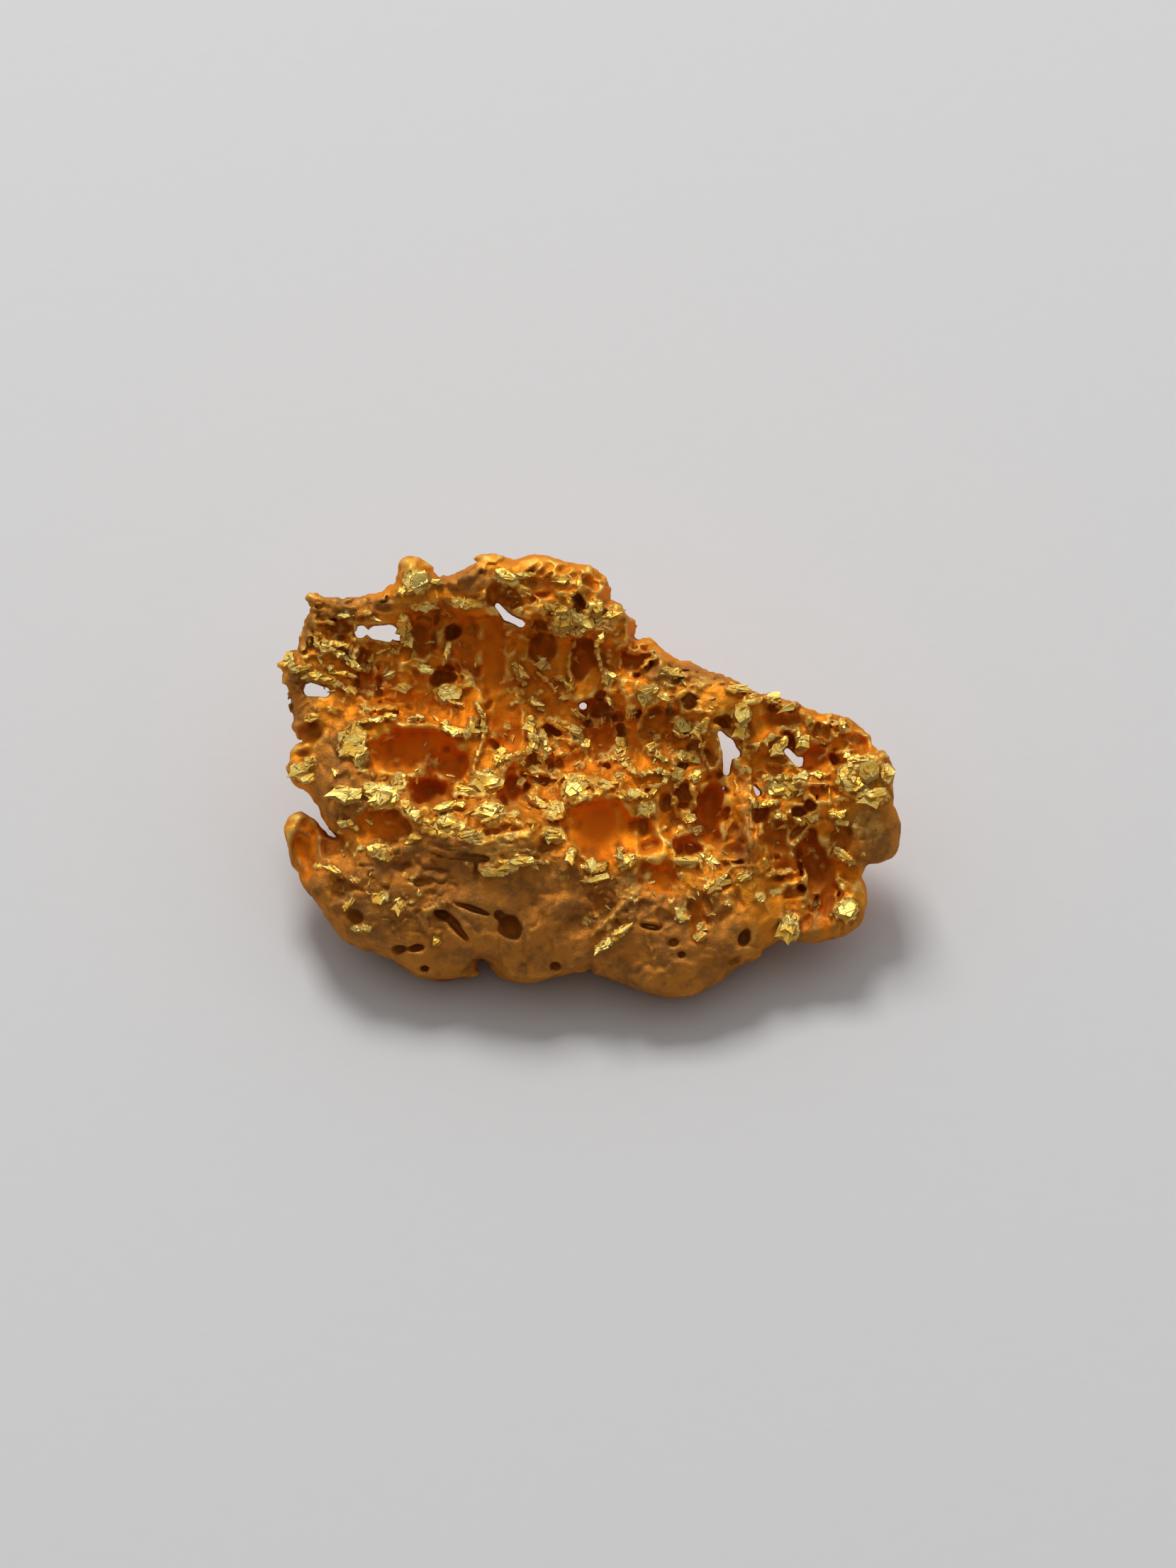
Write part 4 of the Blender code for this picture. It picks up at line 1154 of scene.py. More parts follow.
class Loom:
    """A small helper that lays and joins the nodes of one tree."""

    def __init__(self, tree: bpy.types.NodeTree) -> None:
        """Start on a tree."""
        self.tree = tree

    def vector(self, operation: str, *parts: Any) -> bpy.types.NodeSocket:
        """Work out a vector from others, and return its socket."""
        return self.node("ShaderNodeVectorMath", dict(enumerate(parts)), operation=operation).outputs[0]

    def knocked(self, shape: Any, noise: Any, reach: Any) -> bpy.types.NodeSocket:
        """Knock the points of a shape about.

        Args:
            shape: The shape's socket.
            noise: A noise colour that tells where each point goes.
            reach: How far the points go along each axis.

        Returns:
            The knocked shape's socket.
        """
        offset = self.vector("MULTIPLY", self.vector("SUBTRACT", noise, (0.5, 0.5, 0.5)), reach)
        return self.node("GeometryNodeSetPosition", {"Geometry": shape, "Offset": offset}).outputs[0]

    def node(self, kind: str, inputs: Optional[dict[str, Any]] = None, **settings: Any) -> bpy.types.Node:
        """Add a node, set its properties and feed its named inputs.

        Args:
            kind: The node's type name.
            inputs: What feeds the inputs, by name.
            settings: Properties of the node.

        Returns:
            The node.
        """
        made = self.tree.nodes.new(kind)
        for name, value in settings.items():
            setattr(made, name, value)
        for name, value in (inputs or {}).items():
            self.feed(made.inputs[name], value)
        return made

    def feed(self, socket: bpy.types.NodeSocket, value: Any) -> None:
        """Link a socket, or set its value.

        Args:
            socket: The socket to feed.
            value: Another socket, or a plain value.
        """
        if isinstance(value, bpy.types.NodeSocket):
            self.tree.links.new(value, socket)
        else:
            socket.default_value = value

    def trait(self, trait: Trait) -> bpy.types.NodeSocket:
        """Read one of the surface's traits."""
        return self.node("ShaderNodeAttribute", attribute_name=trait.value).outputs["Fac"]

    def calc(self, operation: str, first: Any, second: Any = 0.0, third: Any = 0.0) -> bpy.types.NodeSocket:
        """Work out a number from one to three others.

        Args:
            operation: The operation's name.
            first: The first number or socket.
            second: The second one.
            third: The third one.

        Returns:
            The result's socket.
        """
        made = self.node("ShaderNodeMath", operation=operation)
        for socket, value in zip(made.inputs, (first, second, third)):
            self.feed(socket, value)
        return made.outputs[0]

    def ramped(
        self, value: Any, start: float, end: float, low: float = 0.0, high: float = 1.0
    ) -> bpy.types.NodeSocket:
        """Map a number smoothly from one range to another.

        Args:
            value: The number.
            start: Where the range starts.
            end: Where the range ends.
            low: Result at the start.
            high: Result at the end.

        Returns:
            The result's socket.
        """
        made = self.node("ShaderNodeMapRange", interpolation_type="SMOOTHSTEP")
        for socket, item in zip(made.inputs, (value, start, end, low, high)):
            self.feed(socket, item)
        return made.outputs[0]

    def noise(self, place: Any, scale: float, detail: float, roughness: float = 0.5) -> bpy.types.NodeSocket:
        """Lay a noise pattern and return its value.

        Args:
            place: The socket of places that it reads.
            scale: Its scale.
            detail: How many finer layers it has.
            roughness: How strong the finer layers are.

        Returns:
            The value's socket.
        """
        inputs = {"Vector": place, "Scale": scale, "Detail": detail, "Roughness": roughness}
        return self.node("ShaderNodeTexNoise", inputs).outputs["Fac"]

    def tint(self, share: Any, first: Any, second: Any) -> bpy.types.NodeSocket:
        """Blend two colours by a share.

        Args:
            share: The share of the second colour.
            first: The first colour.
            second: The second colour.

        Returns:
            The colour's socket.
        """
        made = self.node("ShaderNodeMix", data_type="RGBA")
        for index, item in ((0, share), (6, first), (7, second)):
            self.feed(made.inputs[index], item)
        return made.outputs[2]

    def bump(self, height: Any, strength: float, distance: float, normal: Any = None) -> bpy.types.NodeSocket:
        """Turn a height pattern into a normal.

        Args:
            height: The pattern.
            strength: How strong the relief is.
            distance: How high it is, in metres.
            normal: A normal that it adds to.

        Returns:
            The normal's socket.
        """
        made = self.node("ShaderNodeBump", {"Strength": strength, "Distance": distance, "Height": height})
        if normal is not None:
            self.feed(made.inputs["Normal"], normal)
        return made.outputs[0]


class Crust:
    """A thin crystal crust over the face, laid out column by column.

    Its borders follow small flat facets, so that what is dabbed on it gets an angular, ragged edge.

    Attributes:
        block: The field that it lies on.
        across: Where each column's facet lies across the face.
        up: Where it lies up the face.
        tone: How bright each column's facet is.
        facets: How far each column's facet stands out.
        height: How far the face is raised in each column.
        top: How bright what stands there is, from 0 to 1.
        near: How close each column lies to what is raised.
        crease: How deep each column lies in the fine creases that wind through the crust.
    """

    # size of a facet, how far its borders wander, and how closely the crust keeps to them
    FACET = 0.16
    WANDER = 0.25
    CLING = 0.5
    # width of the crust's edge, and how far the painted highlight on its top and the painted shade halo round
    # it lie in and out of it
    EDGE = 0.06
    INSET = 0.025
    HALO = 0.05
    # how steeply facets lean, and the most that one stands above the next
    TILT = 0.45
    STEP = 0.025
    # how far apart the fine creases lie across and up the face, how wide and how deep they are
    CREASES = (0.3, 0.2)
    CREASE_WIDTH = 0.16
    CREASE_DEPTH = 0.035
    # the dimmest facet and how much brighter the brightest one is
    TONES = (0.6, 0.4)
    # how much a crease dims the crust's painted highlight, and how much painted shade it holds
    CREASE_SHADE = 0.5
    CREASE_PAINTED_SHADE = 0.8
    # how far behind the front surface the crust still shows
    SHOWN = 0.2
    SEED = 91

    def __init__(self, block: DistanceField) -> None:
        """Start a crust over the face of a field.

        Args:
            block: The field.
        """
        self.block = block
        _, _, right, up, level, lean, rise = nearest_cells(block, self.FACET, self.WANDER, self.SEED)
        self.across = block.axes[0][:, None] + self.CLING * self.FACET * right
        self.up = block.axes[1][None, :] + self.CLING * self.FACET * up
        tilted = (2.0 * lean - 1.0) * right + (2.0 * rise - 1.0) * up
        self.facets = self.STEP * (2.0 * level - 1.0) + self.TILT * self.FACET * tilted
        self.tone = self.TONES[0] + self.TONES[1] * level
        self.crease = creased(block, *self.CREASES, self.CREASE_WIDTH, self.SEED)
        self.height = np.zeros(block.shape[:2], dtype=np.float32)
        self.top = np.zeros(block.shape[:2], dtype=np.float32)
        self.near = np.zeros(block.shape[:2], dtype=np.float32)

    def dab(self, patch: Patch, lift: float, glow: float) -> None:
        """Raise and brighten an oval of the crust.

        Args:
            patch: The oval.
            lift: How far it is raised, in millimetres.
            glow: How bright it is, from 0 to 1.
        """
        reach = max(patch.half_across, patch.half_up) + self.EDGE + self.FACET
        picked = self.block.window((patch.across, patch.up, 0.0), (reach, reach, 0.1))
        if picked is None:
            return
        cut = picked[0][:2]
        along, beside = turned(self.across[cut] - patch.across, self.up[cut] - patch.up, patch.turn)
        away = np.hypot(along / patch.half_across, beside / patch.half_up)
        outside = (away - 1.0) * min(patch.half_across, patch.half_up)
        for layer, most, shift in (
            (self.height, lift, 0.0), (self.top, glow, self.INSET), (self.near, glow, -self.HALO)
        ):
            share = eased(np.clip(0.5 - (outside + shift) / self.EDGE, 0.0, 1.0))
            layer[cut] = np.maximum(layer[cut], most * share)

    def settle(self) -> None:
        """Raise the field's front by the crust, with its facets standing at their own tilts."""
        shape = self.facets - self.CREASE_DEPTH * self.crease
        self.block.sink(-(self.height + shape * np.minimum(1.0, 1.3 * self.top)))

    def traits(self, places: np.ndarray) -> dict[Trait, np.ndarray]:
        """Read the traits of the crust at places on the nugget's surface.

        Args:
            places: One row of across, up and out for each place.

        Returns:
            The crust's painted highlight, and the painted shade round it and in its creases, one value
            for each place and 0 away from the front.
        """
        front = np.nan_to_num(self.block.surface(), nan=self.block.low[2])
        index = self.block.columns(places)
        seen = np.clip(1.5 - (front[index] - places[:, 2]) / self.SHOWN, 0.0, 1.0)
        # painted shade: a dark halo round what is raised, and dark fine creases across its top
        halo = np.clip(self.near - 1.5 * self.top, 0.0, 1.0)
        dirt = np.maximum(halo, self.CREASE_PAINTED_SHADE * self.crease * self.top)
        # painted highlight: the raised crust's brightness, dimmed in its creases
        glint = self.top * self.tone * (1.0 - self.CREASE_SHADE * self.crease)
        return {Trait.GLINT: seen * glint[index], Trait.DIRT: seen * dirt[index]}


@dataclass
class Flakes:
    """Small stepped crystal plates, set on the surface by a Geometry Nodes tree.

    Attributes:
        clusters: Where plates crowd together.
        scattered: Where small plates are strewn.
        lift: How far the crust is raised under a cluster.
        scale_lift: How far it is raised by a strewn scale.
        ground: Size of the bright ground under a cluster, as a share of the cluster's.
        blade_spacing: Distance between the blades on a ridge.
        blade_width: Narrowest and widest blade, as shares of the ridge's half width.
        least_glow: Brightness from which a ridge carries blades.
        scattered_per_area: How many small plates a square millimetre carries.
        scales_per_area: How many bright scales of crust a square millimetre carries there.
        scale_size: Smallest and largest half width of a scale.
        scale_turn: The least and the most that a scale is turned, in degrees.
        mains_per_area: How many large plates a square millimetre of a cluster carries.
        smalls_per_area: How many small plates lie among them.
        spread: Size of a cluster's large plates as a share of the cluster's.
        turned_about: How far large and small plates are turned about, in degrees.
        strewn_size: Smallest and largest half width of a strewn plate.
        half_size: Smallest and largest half size of a cluster's plate.
        thickness: Thickness of a plate as a share of its half size.
        thinnest: The least and the most that this comes to, in millimetres.
        chip: How far a plate's corners are knocked about, in millimetres.
        chip_grain: How quickly that changes from place to place.
        torn: How far a plate's edges are torn in and out, as shares of its sizes.
        steps: Radius at the top, radius at the foot and height of a plate's two steps, as shares.
        kinds: How many sides each kind of plate has, and how far its upper step is moved aside.
        settling: How far round a plate the surface that it lies on is measured.
        glance: The lean of plates towards where they throw the window's light to the eye.
        unrest: How far plates lean about at random.
        seed: Seed of everything random about the plates.
    """

    clusters: tuple[Patch, ...] = laid_out(Patch, (
        # the shelf, the knob and the dish
        (-6.9, 4.77, 0.2, 0.05), (-8.1, 3.25, 0.25, 0.08), (-8.42, 3.5, 0.1, 0.15), (-7.7, 3.05, 0.28, 0.1),
        (-7, 3.65, 0.18, 0.1, -30), (-6.67, 2.65, 0.12, 0.1), (-5.2, 4.5, 0.14, 0.2),
        (-5.12, 4.1, 0.12, 0.15), (-5.5, 3.75, 0.14, 0.08), (-5.62, 3.1, 0.1, 0.12, -40),
        (-5.2, 2.75, 0.15, 0.07, 10), (-4.65, 3.25, 0.2, 0.1, -10), (-3.97, 3.8, 0.05, 0.18),
        (-7.85, 1.85, 0.15, 0.08, 20), (-5, 5.75, 0.16, 0.25), (-4.7, 5.65, 0.22, 0.2),
        (-4.3, 5.68, 0.15, 0.06, -10), (-4.65, 5, 0.28, 0.09), (-5.2, 5.45, 0.12, 0.08, 20),
        (-4, 2.55, 0.26, 0.2), (-3.3, 1.45, 0.2, 0.1, 10), (-3.85, 1.5, 0.2, 0.08, -30),
        # the back rim
        (-3.4, 5.1, 0.4, 0.1), (-2.3, 5.8, 0.28, 0.16, -20), (-1.75, 5.9, 0.24, 0.08, 15),
        (-1.1, 5, 0.14, 0.07), (-0.8, 4.95, 0.2, 0.14, -10), (-0.7, 4.6, 0.24, 0.26),
        (-0.2, 4.65, 0.2, 0.14, -30), (0.25, 4.95, 0.14, 0.2), (0.7, 4.75, 0.2, 0.06, -10),
        (0.4, 4.6, 0.14, 0.12), (-0.7, 5.75, 0.18, 0.06, 10),
        # the middle
        (-1.25, 3.4, 0.11, 0.13), (-1.95, 3.2, 0.09, 0.2, 20), (-0.65, 2.45, 0.16, 0.07, 30),
        (0.55, 2.95, 0.13, 0.15), (-1.5, 2.3, 0.18, 0.08, -20), (-1.62, 1.65, 0.11, 0.12),
        (-1.3, 1.2, 0.12, 0.3), (-0.35, 1.45, 0.14, 0.12, -40), (-0.1, 1.1, 0.1, 0.14),
        (-2.5, 0.75, 0.14, 0.2), (-1.5, 0.4, 0.14, 0.1), (-1.9, 0.05, 0.08, 0.12, -30),
        (-0.4, -0.2, 0.28, 0.26), (0.5, 0, 0.2, 0.08), (-2.85, 0.05, 0.32, 0.26),
        (-3.4, -0.2, 0.2, 0.08, -10), (-3.95, -0.65, 0.3, 0.1, 8), (-2.75, -0.8, 0.34, 0.2),
        (-2.05, -0.85, 0.1, 0.1), (-1.45, -0.5, 0.22, 0.08, -25), (-0.95, -0.75, 0.24, 0.2),
        (-0.95, -1.42, 0.26, 0.16, -20),
        # the long crest and the foot of the round hollow
        (-4, -1.2, 0.36, 0.22), (-3.3, -1.4, 0.3, 0.1, -5), (-2, -2.2, 0.4, 0.12, 5),
        (-2.7, -2.45, 0.28, 0.08, -10), (0.1, -2.3, 0.09, 0.14), (0.35, -2.35, 0.14, 0.07, 30),
        (0.2, -2.65, 0.28, 0.07, 5), (-0.45, -2, 0.1, 0.18), (1.1, -2.2, 0.18, 0.16),
        (0.9, -1.9, 0.08, 0.12),
        # right of the middle
        (0.95, 1, 0.12, 0.2), (1.15, 0.6, 0.12, 0.09, -40), (0.98, -0.27, 0.1, 0.1),
        (1.85, 0.95, 0.14, 0.14), (1.25, -0.3, 0.14, 0.12), (1.65, -0.7, 0.18, 0.18), (0.9, 0.22, 0.1, 0.1),
        (2.5, 0.3, 0.1, 0.12, -30), (3.05, 0.22, 0.1, 0.12), (2.8, -0.95, 0.15, 0.12),
        (3.1, -1.33, 0.15, 0.11, 10), (2.85, -2.2, 0.3, 0.1, -5), (3.5, -2.18, 0.14, 0.08, -15),
        (2.8, 0.8, 0.28, 0.13, -5), (2.7, 1.6, 0.2, 0.2), (3.15, 1.55, 0.18, 0.18),
        (1.75, 2.68, 0.22, 0.08, 15), (2.1, 2.45, 0.16, 0.07, -20), (1.6, 2.35, 0.1, 0.14, 20),
        (2.4, 3.12, 0.25, 0.09, -15), (1.15, 2, 0.07, 0.15), (4.2, 2.7, 0.26, 0.07, -10),
        (4.4, 1.95, 0.16, 0.24), (4.3, 1.5, 0.12, 0.12),
        # the right wing
        (5.2, 2.4, 0.16, 0.12), (5.7, 2.2, 0.18, 0.06), (4.65, 2.45, 0.14, 0.08, 20),
        (5.4, 1.05, 0.2, 0.12, 40), (5.85, 1.6, 0.14, 0.07, 40), (6.1, 1.22, 0.12, 0.1),
        (7.15, 1.7, 0.09, 0.12), (7.8, 0.7, 0.26, 0.1), (7.85, 0.35, 0.26, 0.24), (7.25, 0.3, 0.16, 0.22),
        (7.6, -0.1, 0.24, 0.14, -20), (8.1, -0.35, 0.3, 0.16), (8.42, 0.3, 0.12, 0.2),
        (5.5, -0.1, 0.36, 0.2), (5.2, -0.1, 0.14, 0.2), (6.08, 0.25, 0.13, 0.08),
        (6.55, 0.27, 0.15, 0.07, -5), (6.35, -0.95, 0.13, 0.07), (7.05, -0.85, 0.16, 0.07, 10),
        (7.15, -1.1, 0.14, 0.07), (7.2, -2.05, 0.24, 0.09, -35), (5.7, -4.05, 0.2, 0.32),
        (7.3, -3.55, 0.22, 0.26, -10), (6.4, -3.4, 0.14, 0.1, 15),
        # the swollen lower front
        (3.6, -2.8, 0.26, 0.09, 25), (3.15, -4.3, 0.14, 0.1), (3.2, -4.03, 0.1, 0.12),
        (4.4, -2.6, 0.16, 0.1, 10), (4.85, -3.2, 0.1, 0.1), (2.65, -3.75, 0.16, 0.1),
        (0.45, -4.5, 0.2, 0.09, 25), (0.95, -4.15, 0.2, 0.06, 35),
        # the left wall, the flap and the lower left
        (-5.85, -1.9, 0.26, 0.16, -10), (-6.85, -1.1, 0.16, 0.06), (-6.8, -0.3, 0.26, 0.18),
        (-5.75, -0.35, 0.3, 0.3), (-5.35, 0.1, 0.18, 0.18, 20), (-6.15, -0.15, 0.14, 0.14, -30),
        (-5.05, -0.72, 0.12, 0.18), (-4.8, -0.92, 0.1, 0.12), (-6.6, 1.3, 0.26, 0.3),
        (-6.4, 0.75, 0.14, 0.2, -20), (-6.85, 0.85, 0.14, 0.08), (-8.15, 0.35, 0.2, 0.18),
        (-7.9, 0.15, 0.14, 0.1), (-7.85, 0.6, 0.16, 0.12, 10), (-4.9, -1.5, 0.12, 0.09),
        (-5.28, -3.45, 0.09, 0.12), (-4.25, -4.42, 0.08, 0.12, -20), (-5.85, -3.2, 0.18, 0.14),
        (-7.1, -2.45, 0.18, 0.06, -30), (-6.75, -3.4, 0.18, 0.05, 35), (-6.4, -4.08, 0.22, 0.07),
    ))
    scattered: tuple[Patch, ...] = laid_out(Patch, (
        (-7, 3.5, 1.5, 1.6), (-7.1, 3.6, 1.2, 1.2), (-4.6, 3.4, 1.6, 1.6), (-0.9, 5.2, 1.9, 0.9),
        (-0.6, 3.2, 2, 2), (-0.6, 1, 2, 1.2), (2.2, 1.4, 1.8, 1.6), (2.6, 1.6, 1.6, 1.2),
        (3.2, -1.6, 1.2, 1.4), (5.4, 0.8, 1.4, 1.4), (7.3, 0.8, 1.2, 1), (-3.2, -0.6, 2.4, 0.9),
        (0.4, -2.4, 1.6, 0.6), (3.2, -2.9, 1.8, 0.8), (-6.2, -2.6, 1.6, 1.4), (6.4, -1.8, 1.4, 2),
        (-5.6, 0.2, 1.6, 1.4), (-2.3, -2.1, 1.3, 0.4), (1, -3.6, 1.2, 0.7), (3.3, 2.8, 1.6, 0.4),
        (-0.8, 5.1, 1.7, 0.7), (-0.4, 0.5, 1.8, 0.7),
    ))
    lift: float = 0.05
    scale_lift: float = 0.03
    ground: float = 1.5
    blade_spacing: float = 0.3
    blade_width: tuple[float, float] = (0.8, 1.6)
    least_glow: float = 0.75
    scattered_per_area: float = 1.3
    scales_per_area: float = 7.0
    scale_size: tuple[float, float] = (0.04, 0.1)
    scale_turn: tuple[float, float] = (-40.0, 60.0)
    mains_per_area: float = 9.0
    smalls_per_area: float = 8.0
    spread: float = 1.6
    turned_about: tuple[float, float] = (12.0, 60.0)
    strewn_size: tuple[float, float] = (0.025, 0.06)
    half_size: tuple[float, float] = (0.05, 0.36)
    thickness: float = 0.25
    thinnest: tuple[float, float] = (0.03, 0.06)
    chip: float = 0.03
    chip_grain: float = 7.0
    torn: Triple = (2.6, 2.6, 0.6)
    steps: tuple[Triple, ...] = ((0.86, 1.0, 1.4), (0.4, 0.55, 0.7))
    kinds: tuple[tuple[int, float], ...] = ((7, 0.25), (8, -0.2), (9, 0.1), (6, -0.35))
    settling: float = 0.12
    glance: Triple = (-0.128, 0.864, 1.3392)
    unrest: float = 0.22
    seed: int = 5

    def lay(self, crust: Crust) -> None:
        """Lay the bright ground of every cluster, and scales strewn beside them, on the crust.

        Args:
            crust: The crystal crust over the face.
        """
        for patch in self.clusters:
            wide, high = self.ground * patch.half_across, self.ground * patch.half_up
            crust.dab(patch._replace(half_across=wide, half_up=high), self.lift, 1.0)
        draw = np.random.default_rng(self.seed + 1)
        for patch in self.scattered:
            for across, up in self.strewn(patch, self.scales_per_area, draw):
                half = draw.uniform(*self.scale_size)
                longer, turn = draw.uniform(1.2, 3.0), draw.uniform(*self.scale_turn)
                scale = Patch(across, up, half * longer, half, turn)
                crust.dab(scale, self.scale_lift, draw.uniform(0.2, 0.9))

    def strewn(self, patch: Patch, per_area: float, draw: np.random.Generator) -> list[tuple[float, float]]:
        """Strew places over a patch.

        Args:
            patch: The patch.
            per_area: How many places a square millimetre gets.
            draw: The source of everything random.

        Returns:
            Across and up of each place.
        """
        places = []
        for _ in range(round(math.pi * patch.half_across * patch.half_up * per_area)):
            around, away = draw.uniform(0.0, 2.0 * math.pi), math.sqrt(draw.uniform())
            across = patch.across + patch.half_across * away * math.cos(around)
            places.append((across, patch.up + patch.half_up * away * math.sin(around)))
        return places

    def cluster(self, patch: Patch, draw: np.random.Generator) -> list[tuple[float, ...]]:
        """Set out the plates of one cluster: large ones that cover it, and small ones among them.

        Args:
            patch: Where the cluster lies.
            draw: The source of everything random.

        Returns:
            Across, up, both half sizes, spin and brightness of each plate.
        """
        area = math.pi * patch.half_across * patch.half_up
        mains = 1 + round(area * self.mains_per_area)
        plates = []
        for index in range(mains + round(area * self.smalls_per_area)):
            main = index < mains
            around = draw.uniform(0.0, 2.0 * math.pi)
            within = (0.6 if mains > 1 else 0.15) if main else 1.0
            away = within * math.sqrt(draw.uniform())
            along = patch.half_across * away * math.cos(around)
            beside = patch.half_up * away * math.sin(around)
            right, above = turned(along, beside, -patch.turn)
            if main:
                share = self.spread * mains**-0.35 * draw.uniform(0.8, 1.15)
            else:
                share = draw.uniform(0.25, 0.5)
            sides = [
                min(max(half * share, self.half_size[0]), self.half_size[1])
                for half in (patch.half_across, patch.half_up)
            ]
            about = draw.normal(0.0, self.turned_about[0 if main else 1])
            spin = math.radians(patch.turn) + math.radians(about)
            glow = draw.uniform(0.75 if main else 0.5, 1.0)
            plates.append((patch.across + right, patch.up + above, *sides, spin, glow))
        return plates

    def blades(self, ridge: Ridge, draw: np.random.Generator) -> list[tuple[float, ...]]:
        """Set out the narrow plates that crown one ridge, each along its course.

        Args:
            ridge: The ridge.
            draw: The source of everything random.

        Returns:
            Across, up, both half sizes, spin and brightness of each plate.
        """
        line = curved(ridge.route, self.blade_spacing)
        plates = []
        for (x0, y0), (x1, y1) in zip(line, line[1:]):
            half = ridge.half_width * draw.uniform(*self.blade_width)
            along = math.hypot(x1 - x0, y1 - y0) * draw.uniform(0.5, 0.8)
            aside = draw.normal(0.0, 0.3 * half, 2)
            spin = math.atan2(y1 - y0, x1 - x0) + math.radians(draw.normal(0.0, 9.0))
            middle = ((x0 + x1) / 2.0 + aside[0], (y0 + y1) / 2.0 + aside[1])
            plates.append((*middle, max(along, half), half, spin, ridge.glow * draw.uniform(0.8, 1.1)))
        return plates

    def plates(self, block: DistanceField, ridges: tuple[Ridge, ...]) -> dict[str, np.ndarray]:
        """Set out every plate on the field's front surface.

        Args:
            block: The nugget's field.
            ridges: The ridges that blades crown.

        Returns:
            The plates' places, turns, sizes and brightness.
        """
        draw = np.random.default_rng(self.seed)
        front = block.surface()
        rows = [plate for patch in self.clusters for plate in self.cluster(patch, draw)]
        for ridge in ridges:
            if ridge.glow > self.least_glow:
                rows += self.blades(ridge, draw)
        for patch in self.scattered:
            for across, up in self.strewn(patch, self.scattered_per_area, draw):
                size = draw.uniform(*self.strewn_size)
                longer, spin, glow = draw.uniform(1.5, 4.0), draw.uniform(0.0, 3.1), draw.uniform(0.3, 0.9)
                rows.append((across, up, size * longer, size, spin, glow))
        table = np.array(rows)
        levels = np.array([block.level_at(front, across, up) for across, up in table[:, :2]])
        table, levels = table[levels != 0.0], levels[levels != 0.0]
        places = np.column_stack([table[:, :2], levels])
        keen = draw.uniform(0.2, 1.0, (len(table), 1))
        normals = block.slope(places, self.settling) + keen * np.array(self.glance)
        normals = normals + draw.normal(0.0, self.unrest, normals.shape)
        turns = []
        for normal, spin in zip(normals, table[:, 4]):
            lean = Vector((0.0, 0.0, 1.0)).rotation_difference(Vector(normal))
            turns.append(tuple((lean @ Euler((0.0, 0.0, spin)).to_quaternion()).to_euler()))
        thick = np.clip(self.thickness * np.sqrt(table[:, 2] * table[:, 3]), *self.thinnest)
        return {
            "place": places,
            "turn": np.array(turns),
            "size": np.column_stack([table[:, 2:4], thick]),
            "bright": table[:, 5],
        }

    def shade_sided_slab(
        self, loom: Loom, sides: int, top: float, foot: float, height: float
    ) -> bpy.types.NodeSocket:
        """Lay the nodes of a slab whose sloping sides are painted with shade.

        Args:
            loom: The tree's helper.
            sides: How many sides it has.
            top: Its radius at the top.
            foot: Its radius at the foot.
            height: Its height.

        Returns:
            The slab's socket.
        """
        sizes = {"Vertices": sides, "Radius Top": top, "Radius Bottom": foot, "Depth": height}
        slab = loom.node("GeometryNodeMeshCone", sizes)
        # painted shade on the slab's sloping sides
        stored = {"Geometry": slab.outputs["Mesh"], "Name": Trait.DIRT.value, "Value": slab.outputs["Side"]}
        settings = {"data_type": "FLOAT", "domain": "FACE"}
        return loom.node("GeometryNodeStoreNamedAttribute", stored, **settings).outputs[0]

    def plate_shape(self, loom: Loom, sides: int, lean: float) -> bpy.types.NodeSocket:
        """Lay the nodes of one stepped plate, about one unit to each side.

        Args:
            loom: The tree's helper.
            sides: How many sides it has.
            lean: How far its upper step is moved aside.

        Returns:
            The plate as one instance.
        """
        base, step = (self.shade_sided_slab(loom, sides, *sizes) for sizes in self.steps)
        lift = loom.node(
            "GeometryNodeTransform",
            {"Geometry": step, "Translation": (lean, 0.1, 1.0), "Rotation": (0.0, 0.1, lean)},
        )
        joined = loom.node("GeometryNodeJoinGeometry")
        loom.feed(joined.inputs[0], base)
        loom.feed(joined.inputs[0], lift.outputs[0])
        place = loom.node("GeometryNodeInputPosition").outputs[0]
        shifted = loom.vector("MULTIPLY_ADD", place, (1.0, 1.0, 0.15), (40.0 * lean, 0.0, 0.0))
        edges = loom.node("ShaderNodeTexNoise", {"Vector": shifted, "Scale": 1.6, "Detail": 1.0})
        ragged = loom.knocked(joined.outputs[0], edges.outputs["Color"], self.torn)
        return loom.node("GeometryNodeGeometryToInstance", {"Geometry": ragged}).outputs[0]

